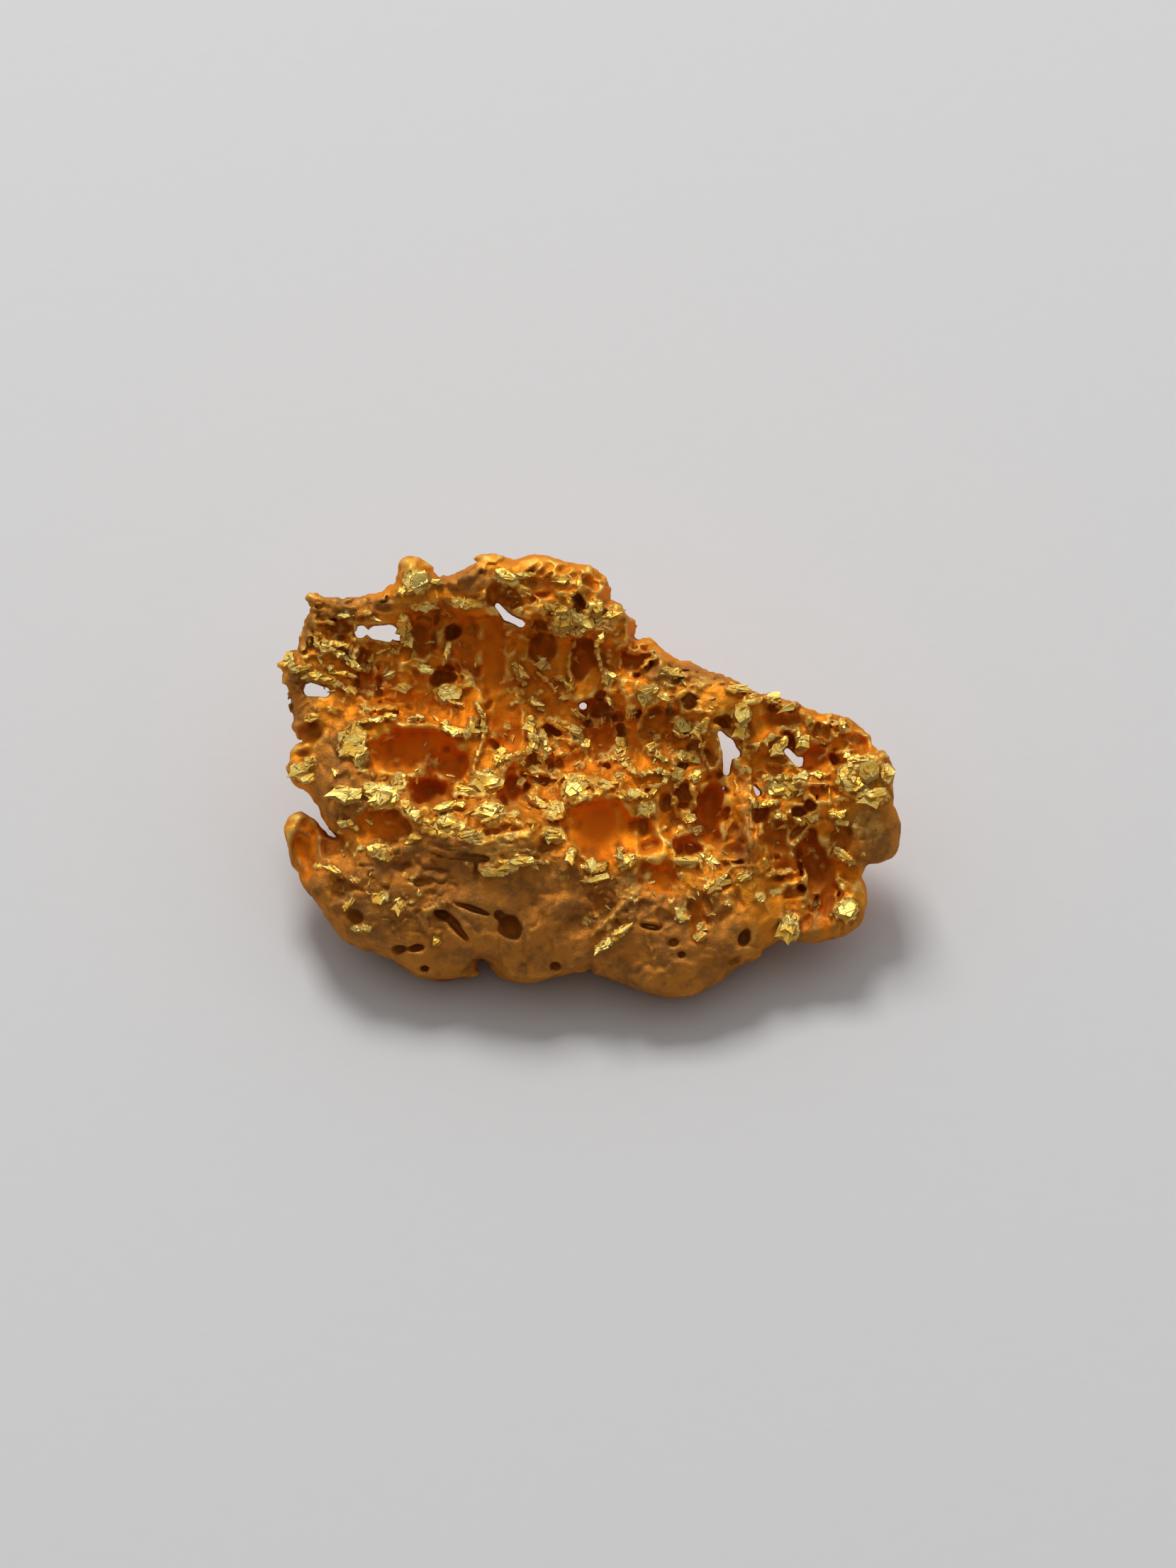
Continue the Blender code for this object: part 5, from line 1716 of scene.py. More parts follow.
    def tree(self) -> bpy.types.NodeTree:
        """Build the tree that sets a plate on every point.

        Returns:
            The tree, with its sizes as named inputs.
        """
        tree = bpy.data.node_groups.new("crystal_plates", "GeometryNodeTree")
        inputs = {"Points": "Geometry", "Chip": "Float", "Seed": "Int", "Finish": "Material"}
        for name, sort in inputs.items():
            tree.interface.new_socket(name, in_out="INPUT", socket_type="NodeSocket" + sort)
        tree.interface.new_socket("Piece", in_out="OUTPUT", socket_type="NodeSocketGeometry")
        loom = Loom(tree)
        given = loom.node("NodeGroupInput").outputs
        kinds = loom.node("GeometryNodeJoinGeometry")
        for sides, lean in self.kinds:
            loom.feed(kinds.inputs[0], self.plate_shape(loom, sides, lean))
        range_of_kinds = {4: 0, 5: len(self.kinds) - 1, "Seed": given["Seed"]}
        kind = loom.node("FunctionNodeRandomValue", range_of_kinds, data_type="INT")
        turn = loom.node("GeometryNodeInputNamedAttribute", {"Name": "turn"}, data_type="FLOAT_VECTOR")
        size = loom.node("GeometryNodeInputNamedAttribute", {"Name": "size"}, data_type="FLOAT_VECTOR")
        instances = loom.node(
            "GeometryNodeInstanceOnPoints",
            {
                "Points": given["Points"],
                "Instance": kinds.outputs[0],
                "Pick Instance": True,
                "Instance Index": kind.outputs[2],
                "Rotation": turn.outputs["Attribute"],
                "Scale": size.outputs["Attribute"],
            },
        )
        real = loom.node("GeometryNodeRealizeInstances", {"Geometry": instances.outputs[0]})
        rough = loom.node("ShaderNodeTexNoise", {"Scale": self.chip_grain, "Detail": 1.0}).outputs["Color"]
        reach = {axis: loom.calc("MULTIPLY", given["Chip"], 4.0) for axis in "XYZ"}
        chipped = loom.knocked(real.outputs[0], rough, loom.node("ShaderNodeCombineXYZ", reach).outputs[0])
        flat = loom.node("GeometryNodeSetShadeSmooth", {"Geometry": chipped, "Shade Smooth": False})
        finish = {"Geometry": flat.outputs[0], "Material": given["Finish"]}
        dressed = loom.node("GeometryNodeSetMaterial", finish)
        loom.feed(loom.node("NodeGroupOutput").inputs[0], dressed.outputs[0])
        return tree

    def build(
        self, plates: dict[str, np.ndarray], finish: bpy.types.Material, stance: Stance
    ) -> bpy.types.Object:
        """Make the plates' finished object.

        Args:
            plates: The plates, as `plates` sets them out.
            finish: The gold that dresses them.
            stance: How the face lies.

        Returns:
            The object, in frame metres.
        """
        seeds = bpy.data.meshes.new("crystal_plates")
        seeds.from_pydata(plates["place"].tolist(), [], [])
        for name in ("turn", "size"):
            layer = seeds.attributes.new(name, "FLOAT_VECTOR", "POINT")
            layer.data.foreach_set("vector", plates[name].astype(np.float32).ravel())
        # each plate's painted highlight
        mark(seeds, {Trait.GLINT: plates["bright"], Trait.RAISED: np.full(len(plates["bright"]), 0.9)})
        values = {"Chip": self.chip, "Seed": self.seed, "Finish": finish}
        mesh = grown(placed("crystal_plates", seeds), self.tree(), values)
        mesh.transform(stance.matrix())
        LOG.info("set %d crystal plates", len(plates["bright"]))
        return placed("crystal_plates", mesh)


@dataclass
class Ridges:
    """The thin ridges and straps that stand between the hollows.

    Attributes:
        ridges: Every ridge, by region.
        spacing: Distance between the places that a ridge is laid at.
        uneven: Narrowest and widest stretch of a ridge, as shares of its width.
        rise: How much higher than its lift every ridge stands.
        knot: How many places lie between the stretches that are drawn.
        seed: Seed of everything random about the ridges.
    """

    ridges: tuple[Ridge, ...] = laid_out(Ridge.along, (
        # the shelf at the upper left
        (0.12, 0.04, 0.2, -7.9, 5.3, -7.3, 5.1, -6.7, 5.05, -6.2, 5.1),
        (0.15, 0.04, 0.1, -7.45, 5.2, -6.6, 5.2, -5.8, 5.35),
        (0.07, 0.08, 0.6, -6.6, 4.75, -6.3, 4.83, -6.1, 4.8),
        (0.06, 0.06, 0.5, -7.7, 4.55, -7.3, 4.58, -7.15, 4.5),
        (0.14, 0.04, 0.1, -7.85, 4.95, -7.9, 4.3, -8.05, 3.85),
        (0.07, 0.08, 0.9, -7.72, 4.15, -7.6, 3.85, -7.35, 3.72),
        (0.08, 0.08, 0.9, -7.5, 4, -7, 3.95, -6.72, 3.8, -6.6, 3.55),
        (0.08, 0.08, 1, -7.3, 3.8, -6.95, 3.6, -6.6, 3.35, -6.5, 3.25),
        (0.07, 0.08, 1, -6.5, 3.25, -6.3, 3.25, -6.17, 3.4, -6.17, 3.6),
        (0.07, 0.07, 0.8, -7.3, 3.35, -7.05, 3.12, -6.8, 3.1, -6.55, 3.03),
        (0.07, 0.07, 0.9, -7.75, 3.05, -7.5, 2.93, -7.1, 2.83, -6.75, 2.62, -6.6, 2.6),
        (0.06, 0.08, 0.6, -6.25, 4.3, -6.1, 4.1, -5.85, 4.02, -5.55, 4),
        (0.15, 0.04, 0, -6.02, 4, -6.1, 3.4, -6.2, 2.9),
        (0.1, 0.05, 0.7, -5.15, 4.7, -5.1, 4.35, -5.12, 3.95),
        # the dish
        (0.06, 0.06, 0.9, -3.97, 4, -3.96, 3.65), (0.07, 0.08, 0.5, -6.2, 2.05, -5.8, 2.2, -5.4, 2.15),
        (0.07, 0.08, 0.8, -6.75, 1.55, -6.5, 1.75, -6, 1.8, -5.65, 1.9, -5.4, 1.85),
        (0.06, 0.08, 1, -5.1, 1.85, -4.85, 1.88, -4.65, 1.8),
        (0.08, 0.1, 0.6, -3.65, 3.45, -3.55, 3.2, -3.38, 3.05, -3.4, 2.85, -3.6, 2.78, -3.85, 2.65),
        (0.06, 0.07, 0.8, -3.95, 2.4, -3.55, 2.18),
        (0.07, 0.1, 1, -3.2, 2.3, -3.05, 2.1, -2.95, 1.8, -2.93, 1.4),
        (0.06, 0.08, 0.6, -2.93, 1.4, -3.05, 1, -3.2, 0.6, -3.25, 0.25),
        (0.1, 0.12, 1, -4.1, 1.65, -3.8, 1.45, -3.4, 1.5, -3.2, 1.85),
        # the back rim
        (0.12, 0.06, 0.1, -3.9, 5.65, -3.3, 5.9, -2.9, 6.3, -2.5, 6.4),
        (0.08, 0.06, 0.6, -3.9, 5.25, -3.5, 5.1, -3.1, 5.2, -2.85, 5.4),
        (0.06, 0.05, 0.6, -0.85, 5.35, -0.7, 5.4, -0.55, 5.15, -0.4, 4.95),
        (0.06, 0.06, 0.6, -0.25, 5.9, -0.22, 5.6, -0.35, 5.4, -0.6, 5.35),
        (0.07, 0.08, 0.9, -0.45, 4.3, -0.15, 4.3, 0.15, 4.5),
        (0.07, 0.08, 0.8, -0.95, 4.85, -0.85, 4.5, -0.8, 4.25, -0.5, 4.35),
        (0.06, 0.06, 0.8, -0.55, 4.95, -0.3, 4.75, 0, 4.6),
        # the sunken middle
        (0.07, 0.14, 0.8, 0.45, 4.18, 0.3, 4, 0.28, 3.7, 0.35, 3.35, 0.5, 3.15, 0.75, 3),
        (0.06, 0.1, 0.6, 0.5, 3.52, 0.75, 3.35, 0.87, 3.25, 0.93, 3.6),
        (0.06, 0.12, 0.5, -0.35, 4, -0.55, 3.6, -0.55, 3.2, -0.45, 2.8, -0.6, 2.6),
        (0.06, 0.1, 0.8, -0.95, 3.03, -0.65, 2.9, -0.5, 2.7),
        (0.06, 0.12, 0.7, -1.47, 3.17, -1.2, 2.95, -1, 2.75, -0.87, 2.55),
        (0.07, 0.12, 1, -2.07, 3.4, -1.95, 3.1, -1.75, 2.8),
        (0.06, 0.08, 0.5, 0.45, 2.68, 0.7, 2.6, 0.95, 2.55),
        (0.06, 0.08, 0.8, 0.5, 2.45, 0.65, 2.3, 0.75, 2.15),
        (0.06, 0.1, 0.8, -0.5, 2.1, -0.3, 1.95, -0.08, 1.85),
        (0.06, 0.1, 1, -1.65, 2.4, -1.5, 2.25, -1.28, 2.15),
        (0.08, 0.13, 1, -1.6, 1.95, -1.63, 1.6, -1.56, 1.2, -1.65, 1),
        (0.07, 0.1, 0.8, -1.65, 1, -1.9, 0.85, -2.3, 0.75, -2.5, 0.75),
        (0.09, 0.13, 1, -0.52, 1.65, -0.3, 1.45, -0.15, 1.2, -0.04, 1),
        (0.07, 0.12, 0.7, -0.04, 1, -0.08, 0.65, -0.35, 0.42),
        (0.06, 0.1, 0.6, -0.5, 1.1, -0.35, 1.2, -0.25, 1, -0.4, 0.9),
        (0.05, 0.08, 0.5, -0.95, 0.6, -0.85, 0.85, -0.6, 0.85, -0.65, 0.7),
        (0.07, 0.1, 0.8, -1.45, 1.35, -1.45, 0.9, -1.25, 0.7, -1.15, 0.9, -1.2, 1.2),
        (0.06, 0.1, 0.7, -2.15, 0.65, -2.4, 0.4, -2.45, 0.1, -2.5, -0.15),
        (0.06, 0.08, 0.9, -2.1, 0.68, -1.8, 0.58),
        (0.13, 0.08, 0.6, -1.35, 0.45, -0.9, 0.25, -0.4, 0.2, 0, 0.1, 0.4, 0, 0.72, -0.08),
        (0.07, 0.08, 0.6, 0.4, -0.25, 0.1, -0.35, 0.02, -0.55),
        (0.08, 0.06, 0.6, -3.75, -0.4, -3.7, -0.1, -3.5, 0.05),
        (0.06, 0.06, 0.7, -3.7, -0.25, -3.3, -0.3, -2.9, -0.32, -2.55, -0.28),
        (0.07, 0.06, 0.9, -4.2, -0.7, -3.8, -0.6, -3.5, -0.6),
        (0.06, 0.07, 0.8, -1.65, -0.35, -1.45, -0.5, -1.25, -0.6),
        (0.06, 0.08, 0.9, -1.25, -0.75, -1.05, -0.53, -0.8, -0.55, -0.72, -0.8, -0.85, -0.98, -1.15, -0.95),
        (0.06, 0.07, 0.8, -3.1, -0.85, -2.95, -0.6, -2.6, -0.55, -2.4, -0.75, -2.7, -1, -2.95, -1.05),
        (0.05, 0.08, 0.4, 0.3, 0.3, 0.45, 0.42, 0.7, 0.3, 0.75, 0.2),
        (0.06, 0.1, 0.9, 0.7, 0.8, 0.85, 0.65, 1.02, 0.9, 1, 1.25, 0.85, 1.1),
        # the long crest
        (0.1, 0.04, 0.5, -3.6, -1.5, -3, -1.6, -2.4, -1.5, -1.8, -1.4, -1.5, -1.3),
        (0.09, 0.04, 0.5, -2.9, -1.1, -2.4, -1, -2, -1.05, -1.7, -1.3),
        (0.06, 0.05, 0.6, -1.75, -1, -1.4, -1.1, -1.2, -1.3),
        (0.07, 0.06, 0.8, -1.3, -1.5, -1.15, -1.3, -0.9, -1.35, -0.8, -1.6),
        (0.08, 0.04, 0.7, -3, -2.4, -2.4, -2.5, -2.1, -2.2, -1.6, -2.2, -1.1, -2.2),
        # the foot of the round hollow
        (0.06, 0.1, 1, -0.15, -2.3, 0.1, -2.45, 0.4, -2.4, 0.5, -2.2),
        (0.06, 0.1, 0.8, -0.5, -1.85, -0.4, -2, -0.55, -2.15),
        (0.08, 0.06, 0.7, -0.15, -2.7, 0.2, -2.65, 0.5, -2.6),
        (0.07, 0.08, 0.8, 0.85, -1.85, 0.95, -2.1, 1.15, -2.3, 1.3, -2.15),
        # right of the middle
        (0.07, 0.06, 0.5, 1.1, 3.75, 1.5, 3.7, 1.85, 3.72),
        (0.06, 0.08, 0.5, 1.5, 3.25, 1.7, 3.5, 1.95, 3.55), (0.07, 0.05, 0.6, 2.2, 3.2, 2.5, 3.1, 2.8, 3.05),
        (0.07, 0.07, 0.6, 2.45, 2.35, 2.6, 2.55, 2.9, 2.6, 3.1, 2.5),
        (0.06, 0.06, 0.6, 2.58, 2.2, 2.7, 2.05, 3, 2.05, 3.5, 2.02),
        (0.08, 0.06, 0.7, 3.95, 2.68, 4.3, 2.65, 4.6, 2.6),
        (0.08, 0.06, 0.6, 4.45, 2.5, 4.4, 2.3, 4.65, 2.32, 4.9, 2.42, 5.1, 2.45),
        (0.09, 0.08, 1, 4.35, 2.1, 4.45, 1.8, 4.3, 1.6, 4.4, 1.3),
        (0.06, 0.06, 0.6, 5.25, 2.15, 5.5, 2.2, 5.85, 2.22),
        (0.07, 0.1, 0.6, 2.5, 1.9, 2.6, 1.6, 2.5, 1.4, 2.8, 1.4, 2.85, 1.7),
        (0.07, 0.1, 0.6, 3, 1.35, 3.1, 1.65, 3.35, 1.8, 3.3, 1.5, 3.1, 1.35),
        (0.05, 0.08, 0.6, 1.55, 1.45, 1.75, 1.35, 1.95, 1.2),
        (0.07, 0.08, 0.7, 1.65, 1.05, 1.9, 1, 2, 0.8, 2.3, 0.62),
        (0.07, 0.1, 0.8, 1, 0.6, 1.2, 0.45, 1.4, 0.25, 1.7, 0.33, 2.05, 0.37, 2.25, 0.25, 2.2, 0.05),
        (0.06, 0.08, 0.6, 2.2, 0.05, 1.95, -0.05, 1.5, -0.1),
        (0.07, 0.08, 0.8, 1.2, -0.4, 1.25, -0.2, 1.45, -0.2, 1.6, -0.35, 1.9, -0.2),
        (0.06, 0.1, 0.7, 2.42, -0.15, 2.65, 0.08, 2.9, 0.2),
        (0.06, 0.1, 0.8, 3.02, 0.35, 3, 0.15, 3.15, 0.15), (0.07, 0.1, 0.2, 2.42, -0.3, 2.45, -0.7, 2.6, -1),
        (0.06, 0.1, 0.4, 2.9, 0, 3.02, -0.3, 3, -0.6), (0.06, 0.08, 0.7, 2.3, -1.65, 2.4, -1.9, 2.5, -2.15),
        (0.09, 0.08, 0.7, 2.55, -2.1, 2.85, -2.2, 3.2, -2.2),
        (0.06, 0.12, 0.5, 3.3, 1.25, 3.22, 0.85, 3.5, 0.38),
        (0.06, 0.12, 0.5, 3.7, 1.25, 3.72, 0.7, 3.55, 0.4),
        # the strap that runs down the right
        (0.17, 0.05, 0.2, 4.3, 0.9, 4.35, 0.4, 4.4, -0.3, 4.5, -0.9, 4.55, -1.4, 4.75, -1.9, 4.85, -2.4),
        (0.06, 0.1, 0.6, 4.35, 1.12, 4.9, 1.12), (0.06, 0.08, 0.6, 4.35, 0.93, 4.8, 0.93),
        (0.06, 0.08, 0.7, 4.1, 0.05, 4.3, 0.3, 4.5, 0.5, 4.55, 0.2, 4.35, -0.1),
        (0.08, 0.08, 0.8, 4.55, -0.4, 4.8, -0.6, 5.1, -0.55, 5.4, -0.5),
        (0.06, 0.07, 0.4, 4.87, -1.15, 4.8, -1.5, 4.65, -1.7),
        # the right wing
        (0.07, 0.1, 0.7, 5, 1.18, 5.2, 1.35, 5.47, 1.33),
        (0.08, 0.1, 0.9, 5.2, 0.82, 5.3, 1.02, 5.5, 1.1, 5.6, 1.3),
        (0.07, 0.1, 0.8, 5.95, 1.5, 5.95, 1.1, 6.1, 1.15, 6.2, 1.3),
        (0.05, 0.08, 0.7, 6.25, 1.85, 6.2, 1.6, 6.3, 1.4), (0.06, 0.07, 0.7, 6.6, 1.55, 6.65, 1.7, 7, 1.72),
        (0.07, 0.08, 0.9, 7.1, 1.75, 7.2, 1.55, 7.3, 1.6),
        (0.06, 0.07, 0.6, 6.3, 1.28, 6.7, 1.2, 7, 1.4, 7.35, 1.5),
        (0.06, 0.06, 0.4, 5.05, 0.65, 5.3, 0.52, 5.7, 0.58),
        (0.07, 0.08, 0.9, 5, 0.12, 5.3, 0.15, 5.7, 0.2, 5.95, 0.1),
        (0.06, 0.06, 0.7, 6, 0.05, 6.4, -0.02, 6.8, 0),
        (0.08, 0.06, 0.9, 7.35, 0.8, 7.4, 0.4, 7.48, 0.1, 7.7, -0.2, 7.75, -0.35),
        (0.07, 0.06, 0.9, 7, 0.1, 7.3, -0.1, 7.6, -0.15),
        (0.06, 0.06, 0.6, 7.1, -0.15, 7.4, -0.3, 7.6, -0.3),
        (0.06, 0.06, 0.7, 7.5, -0.45, 7.9, -0.45, 8.3, -0.4),
        (0.06, 0.05, 0.6, 8.1, 0.75, 8.35, 0.5, 8.45, 0.2),
        (0.07, 0.07, 0.8, 5.8, -0.97, 5.95, -1.07, 6.1, -1.1), (0.06, 0.05, 0.8, 5.3, -0.95, 5.6, -1),
        (0.07, 0.07, 0.8, 6.85, -0.7, 6.9, -0.92, 7.25, -0.85),
        (0.1, 0.08, 0.9, 7, -1.88, 7.2, -2.02, 7.5, -2.25),
        (0.07, 0.07, 0.5, 4.95, -2.1, 5.1, -2.35, 5.4, -2.42, 5.75, -2.4),
        (0.06, 0.05, 0.6, 5, -2.6, 5.3, -2.52, 5.65, -2.5),
        (0.06, 0.07, 0.5, 6, -2.1, 6.15, -2.4, 6.15, -2.8, 6, -2.65),
        (0.05, 0.06, 0.4, 6.85, -3.75, 7, -3.4, 6.98, -3),
        # the swollen lower front
        (0.08, 0.08, 0.8, 3.3, -2.95, 3.6, -2.75, 3.87, -2.65),
        (0.06, 0.06, 0.6, 4.1, -2.75, 4.35, -2.5, 4.65, -2.5),
        (0.08, 0.04, 0.2, 0.1, -4.3, 0.5, -3.9, 1, -3.4, 1.3, -3.1),
        (0.08, 0.06, 0.9, 0.25, -4.6, 0.55, -4.45, 0.9, -4.2, 1.2, -4),
        (0.09, 0.04, 0.2, 1.65, -4.2, 1.75, -4.6, 1.88, -5.05),
        # the left wall and the flap
        (0.07, 0.06, 0.6, -7.05, 0.95, -6.98, 1.35, -6.75, 1.55),
        (0.06, 0.06, 0.6, -6.35, 1.5, -6.32, 1, -6.2, 0.6, -6.05, 0.15),
        (0.08, 0.07, 0.9, -7, -1.1, -6.7, -1.12), (0.06, 0.05, 0.9, -5.95, -1.75, -5.75, -1.85, -5.7, -2.15),
        (0.06, 0.06, 0.9, -7.3, -2.35, -7.1, -2.45, -6.9, -2.65),
        (0.06, 0.05, 0.8, -6.9, -3.5, -6.75, -3.42, -6.6, -3.28),
        (0.06, 0.04, 0.6, -5.7, -2.95, -5.68, -3.15, -5.8, -3.3, -5.95, -3.35),
        (0.05, 0.04, 0.8, -6.65, -4.05, -6.5, -4.1, -6.25, -4.05),
        (0.1, 0.04, 0.3, -4.05, -3.42, -4.4, -3.45, -4.62, -3.75, -4.5, -4.1, -4.2, -4.2),
        (0.05, 0.04, 0.6, -5.45, -4.1, -5.3, -3.95, -5.1, -3.8),
    ))
    spacing: float = 0.05
    uneven: tuple[float, float] = (0.6, 1.6)
    rise: float = 0.06
    knot: int = 4
    seed: int = 23

    def lay(self, crust: Crust) -> None:
        """Lay every ridge on the crust.

        Args:
            crust: The crystal crust over the face.
        """
        draw = np.random.default_rng(self.seed)
        for ridge in self.ridges:
            line = curved(ridge.route, self.spacing)
            ends = np.minimum(np.arange(len(line)), np.arange(len(line))[::-1])
            knots = np.arange(0, len(line) + self.knot, self.knot)
            uneven = np.interp(np.arange(len(line)), knots, draw.uniform(*self.uneven, len(knots)))
            widths = ridge.half_width * uneven * np.clip((ends + 2.0) / 4.0, 0.0, 1.0)
            for (across, up), half in zip(line, widths):
                crust.dab(Patch(across, up, float(half), float(half)), ridge.lift + self.rise, ridge.glow)


@dataclass
class Nugget:
    """The whole nugget, from its form to its finished mesh.

    Attributes:
        stance: How its face lies.
        form: Its mass.
        floors: Its sunken floors.
        cells: The small cells in its rough parts.
        hollows: Its pits and holes.
        skin: The surface between them.
        areas: Where the finish differs.
        low: Lowest corner of the block that the form is worked out in.
        high: Highest corner of that block.
        step: Spacing of the samples.
        triangles: How many triangles the finished mesh keeps.
        face_depth: How far under the face's front the mesh is thinned as gently as the face.
        face_thinning: How readily the face is thinned, from 0 to 1, where the back is 1.
        flat_glint: Brightness from which the crust is shaded flat.
        raised_reach: How far round a point the gold is weighed, to tell whether it is raised.
    """

    stance: Stance = field(default_factory=Stance)
    form: BodyForm = field(default_factory=BodyForm)
    floors: Floors = field(default_factory=Floors)
    cells: Cells = field(default_factory=Cells)
    hollows: Hollows = field(default_factory=Hollows)
    skin: Skin = field(default_factory=Skin)
    areas: Areas = field(default_factory=Areas)
    low: Triple = (-9.2, -6.4, -6.2)
    high: Triple = (9.2, 6.9, 2.4)
    step: float = 0.05
    triangles: int = 196000
    face_depth: float = 0.5
    face_thinning: float = 0.3
    flat_glint: float = 0.3
    raised_reach: float = 0.18

    def shape(self, ridges: Ridges, flakes: Flakes) -> tuple[DistanceField, np.ndarray, Crust]:
        """Work out the nugget's form.

        Args:
            ridges: The ridges that stand up from it.
            flakes: The crystal plates that grow on it.

        Returns:
            The field of the nugget, the values it had before anything was cut from it, and its crust.
        """
        block = DistanceField(self.low, self.high, self.step)
        self.form.build(block)
        self.skin.build(block)
        whole = block.values.copy()
        self.floors.build(block)
        self.hollows.build(block)
        self.cells.build(block, self.hollows.smoothed(block))
        crust = Crust(block)
        ridges.lay(crust)
        flakes.lay(crust)
        # painted sheen: soft brightness painted over these smooth areas
        for patch in self.areas.painted_sheen:
            crust.dab(patch, 0.0, self.areas.painted_sheen_glow)
        crust.settle()
        self.hollows.pierce(block)
        self.form.rest(block, self.stance)
        return block, whole, crust

    def skinned(self, block: DistanceField) -> bpy.types.Mesh:
        """Skin the field with a closed mesh in face millimetres, thinned to the kept triangles.

        Args:
            block: The nugget's field.

        Returns:
            The mesh.
        """
        grid = openvdb.FloatGrid(DistanceField.FAR)
        grid.copyFromArray(block.values)
        points, quads = grid.convertToQuads(isovalue=0.0)
        points, quads = largest_island(points * block.step + block.low, quads)
        mesh = bpy.data.meshes.new("nugget_gold")
        mesh.from_pydata(points.tolist(), [], quads[:, ::-1].tolist())
        LOG.info("skinned %d points, %d quads", len(points), len(quads))
        worked = placed("nugget_gold", mesh)
        group = worked.vertex_groups.new(name="thinned")
        front = np.nan_to_num(block.surface(), nan=block.low[2])
        hidden = points[:, 2] < front[block.columns(points)] - self.face_depth
        group.add(np.flatnonzero(hidden).tolist(), 1.0, "REPLACE")
        group.add(np.flatnonzero(~hidden).tolist(), self.face_thinning, "REPLACE")
        worked.modifiers.new("triangles", "TRIANGULATE")
        thin = worked.modifiers.new("thin", "DECIMATE")
        thin.vertex_group = group.name
        thin.ratio = min(1.0, self.triangles / (2.0 * len(quads)))
        return evaluated(worked)

    def traits(self, mesh: bpy.types.Mesh, crust: Crust, whole: np.ndarray) -> dict[Trait, np.ndarray]:
        """Work out the traits of the mesh's points.

        Args:
            mesh: The mesh, in face millimetres.
            crust: The nugget's crust.
            whole: The values before anything was cut.

        Returns:
            The values of each trait, one for each point.
        """
        places = np.empty(len(mesh.vertices) * 3)
        mesh.vertices.foreach_get("co", places)
        places = places.reshape(-1, 3)
        block = crust.block
        filled = np.clip(0.5 - block.values / (2.0 * block.step), 0.0, 1.0)
        around = block.sample(blurred(filled, round(self.raised_reach / block.step)), places)
        marks = crust.traits(places)
        areas = self.areas
        # painted shade: the listed pits are darkened, except where a highlight is painted
        painted_pit_shade = areas.painted_pit_shade * share_in(areas.painted_shade_pits, places, areas.painted_shade_pits_edge)
        marks[Trait.DIRT] = np.maximum(marks[Trait.DIRT], painted_pit_shade * (1.0 - marks[Trait.GLINT]))
        return {
            Trait.CAVITY: np.clip(-block.sample(whole, places), 0.0, 2.0),
            Trait.RAISED: np.clip(0.5 + 2.0 * (0.5 - around), 0.0, 1.0),
            Trait.WORN: share_in(areas.worn, places, areas.worn_edge),
            Trait.FLOOR: share_in(areas.deep, places, areas.deep_edge),
            **marks,
        }

    def build(self, ridges: Ridges, flakes: Flakes, finish: bpy.types.Material) -> list[bpy.types.Object]:
        """Make the nugget's finished objects.

        Args:
            ridges: The ridges that stand up from it.
            flakes: The crystal plates that grow on it.
            finish: The gold that dresses it.

        Returns:
            The mass and its crystal plates, in frame metres.
        """
        block, whole, crust = self.shape(ridges, flakes)
        plates = flakes.plates(block, ridges.ridges)
        mesh = self.skinned(block)
        traits = self.traits(mesh, crust, whole)
        mark(mesh, traits)
        mesh.transform(self.stance.matrix())
        mesh.materials.clear()
        mesh.materials.append(finish)
        corners = np.empty(len(mesh.loops), dtype=np.int32)
        mesh.loops.foreach_get("vertex_index", corners)
        bright = traits[Trait.GLINT][corners.reshape(-1, 3)].mean(axis=1) > self.flat_glint
        mesh.shade_smooth()
        mesh.polygons.foreach_set("use_smooth", ~bright)
        LOG.info("%d faces are flat crystal facets", bright.sum())
        return [placed("nugget_gold", mesh), flakes.build(plates, finish, self.stance)]


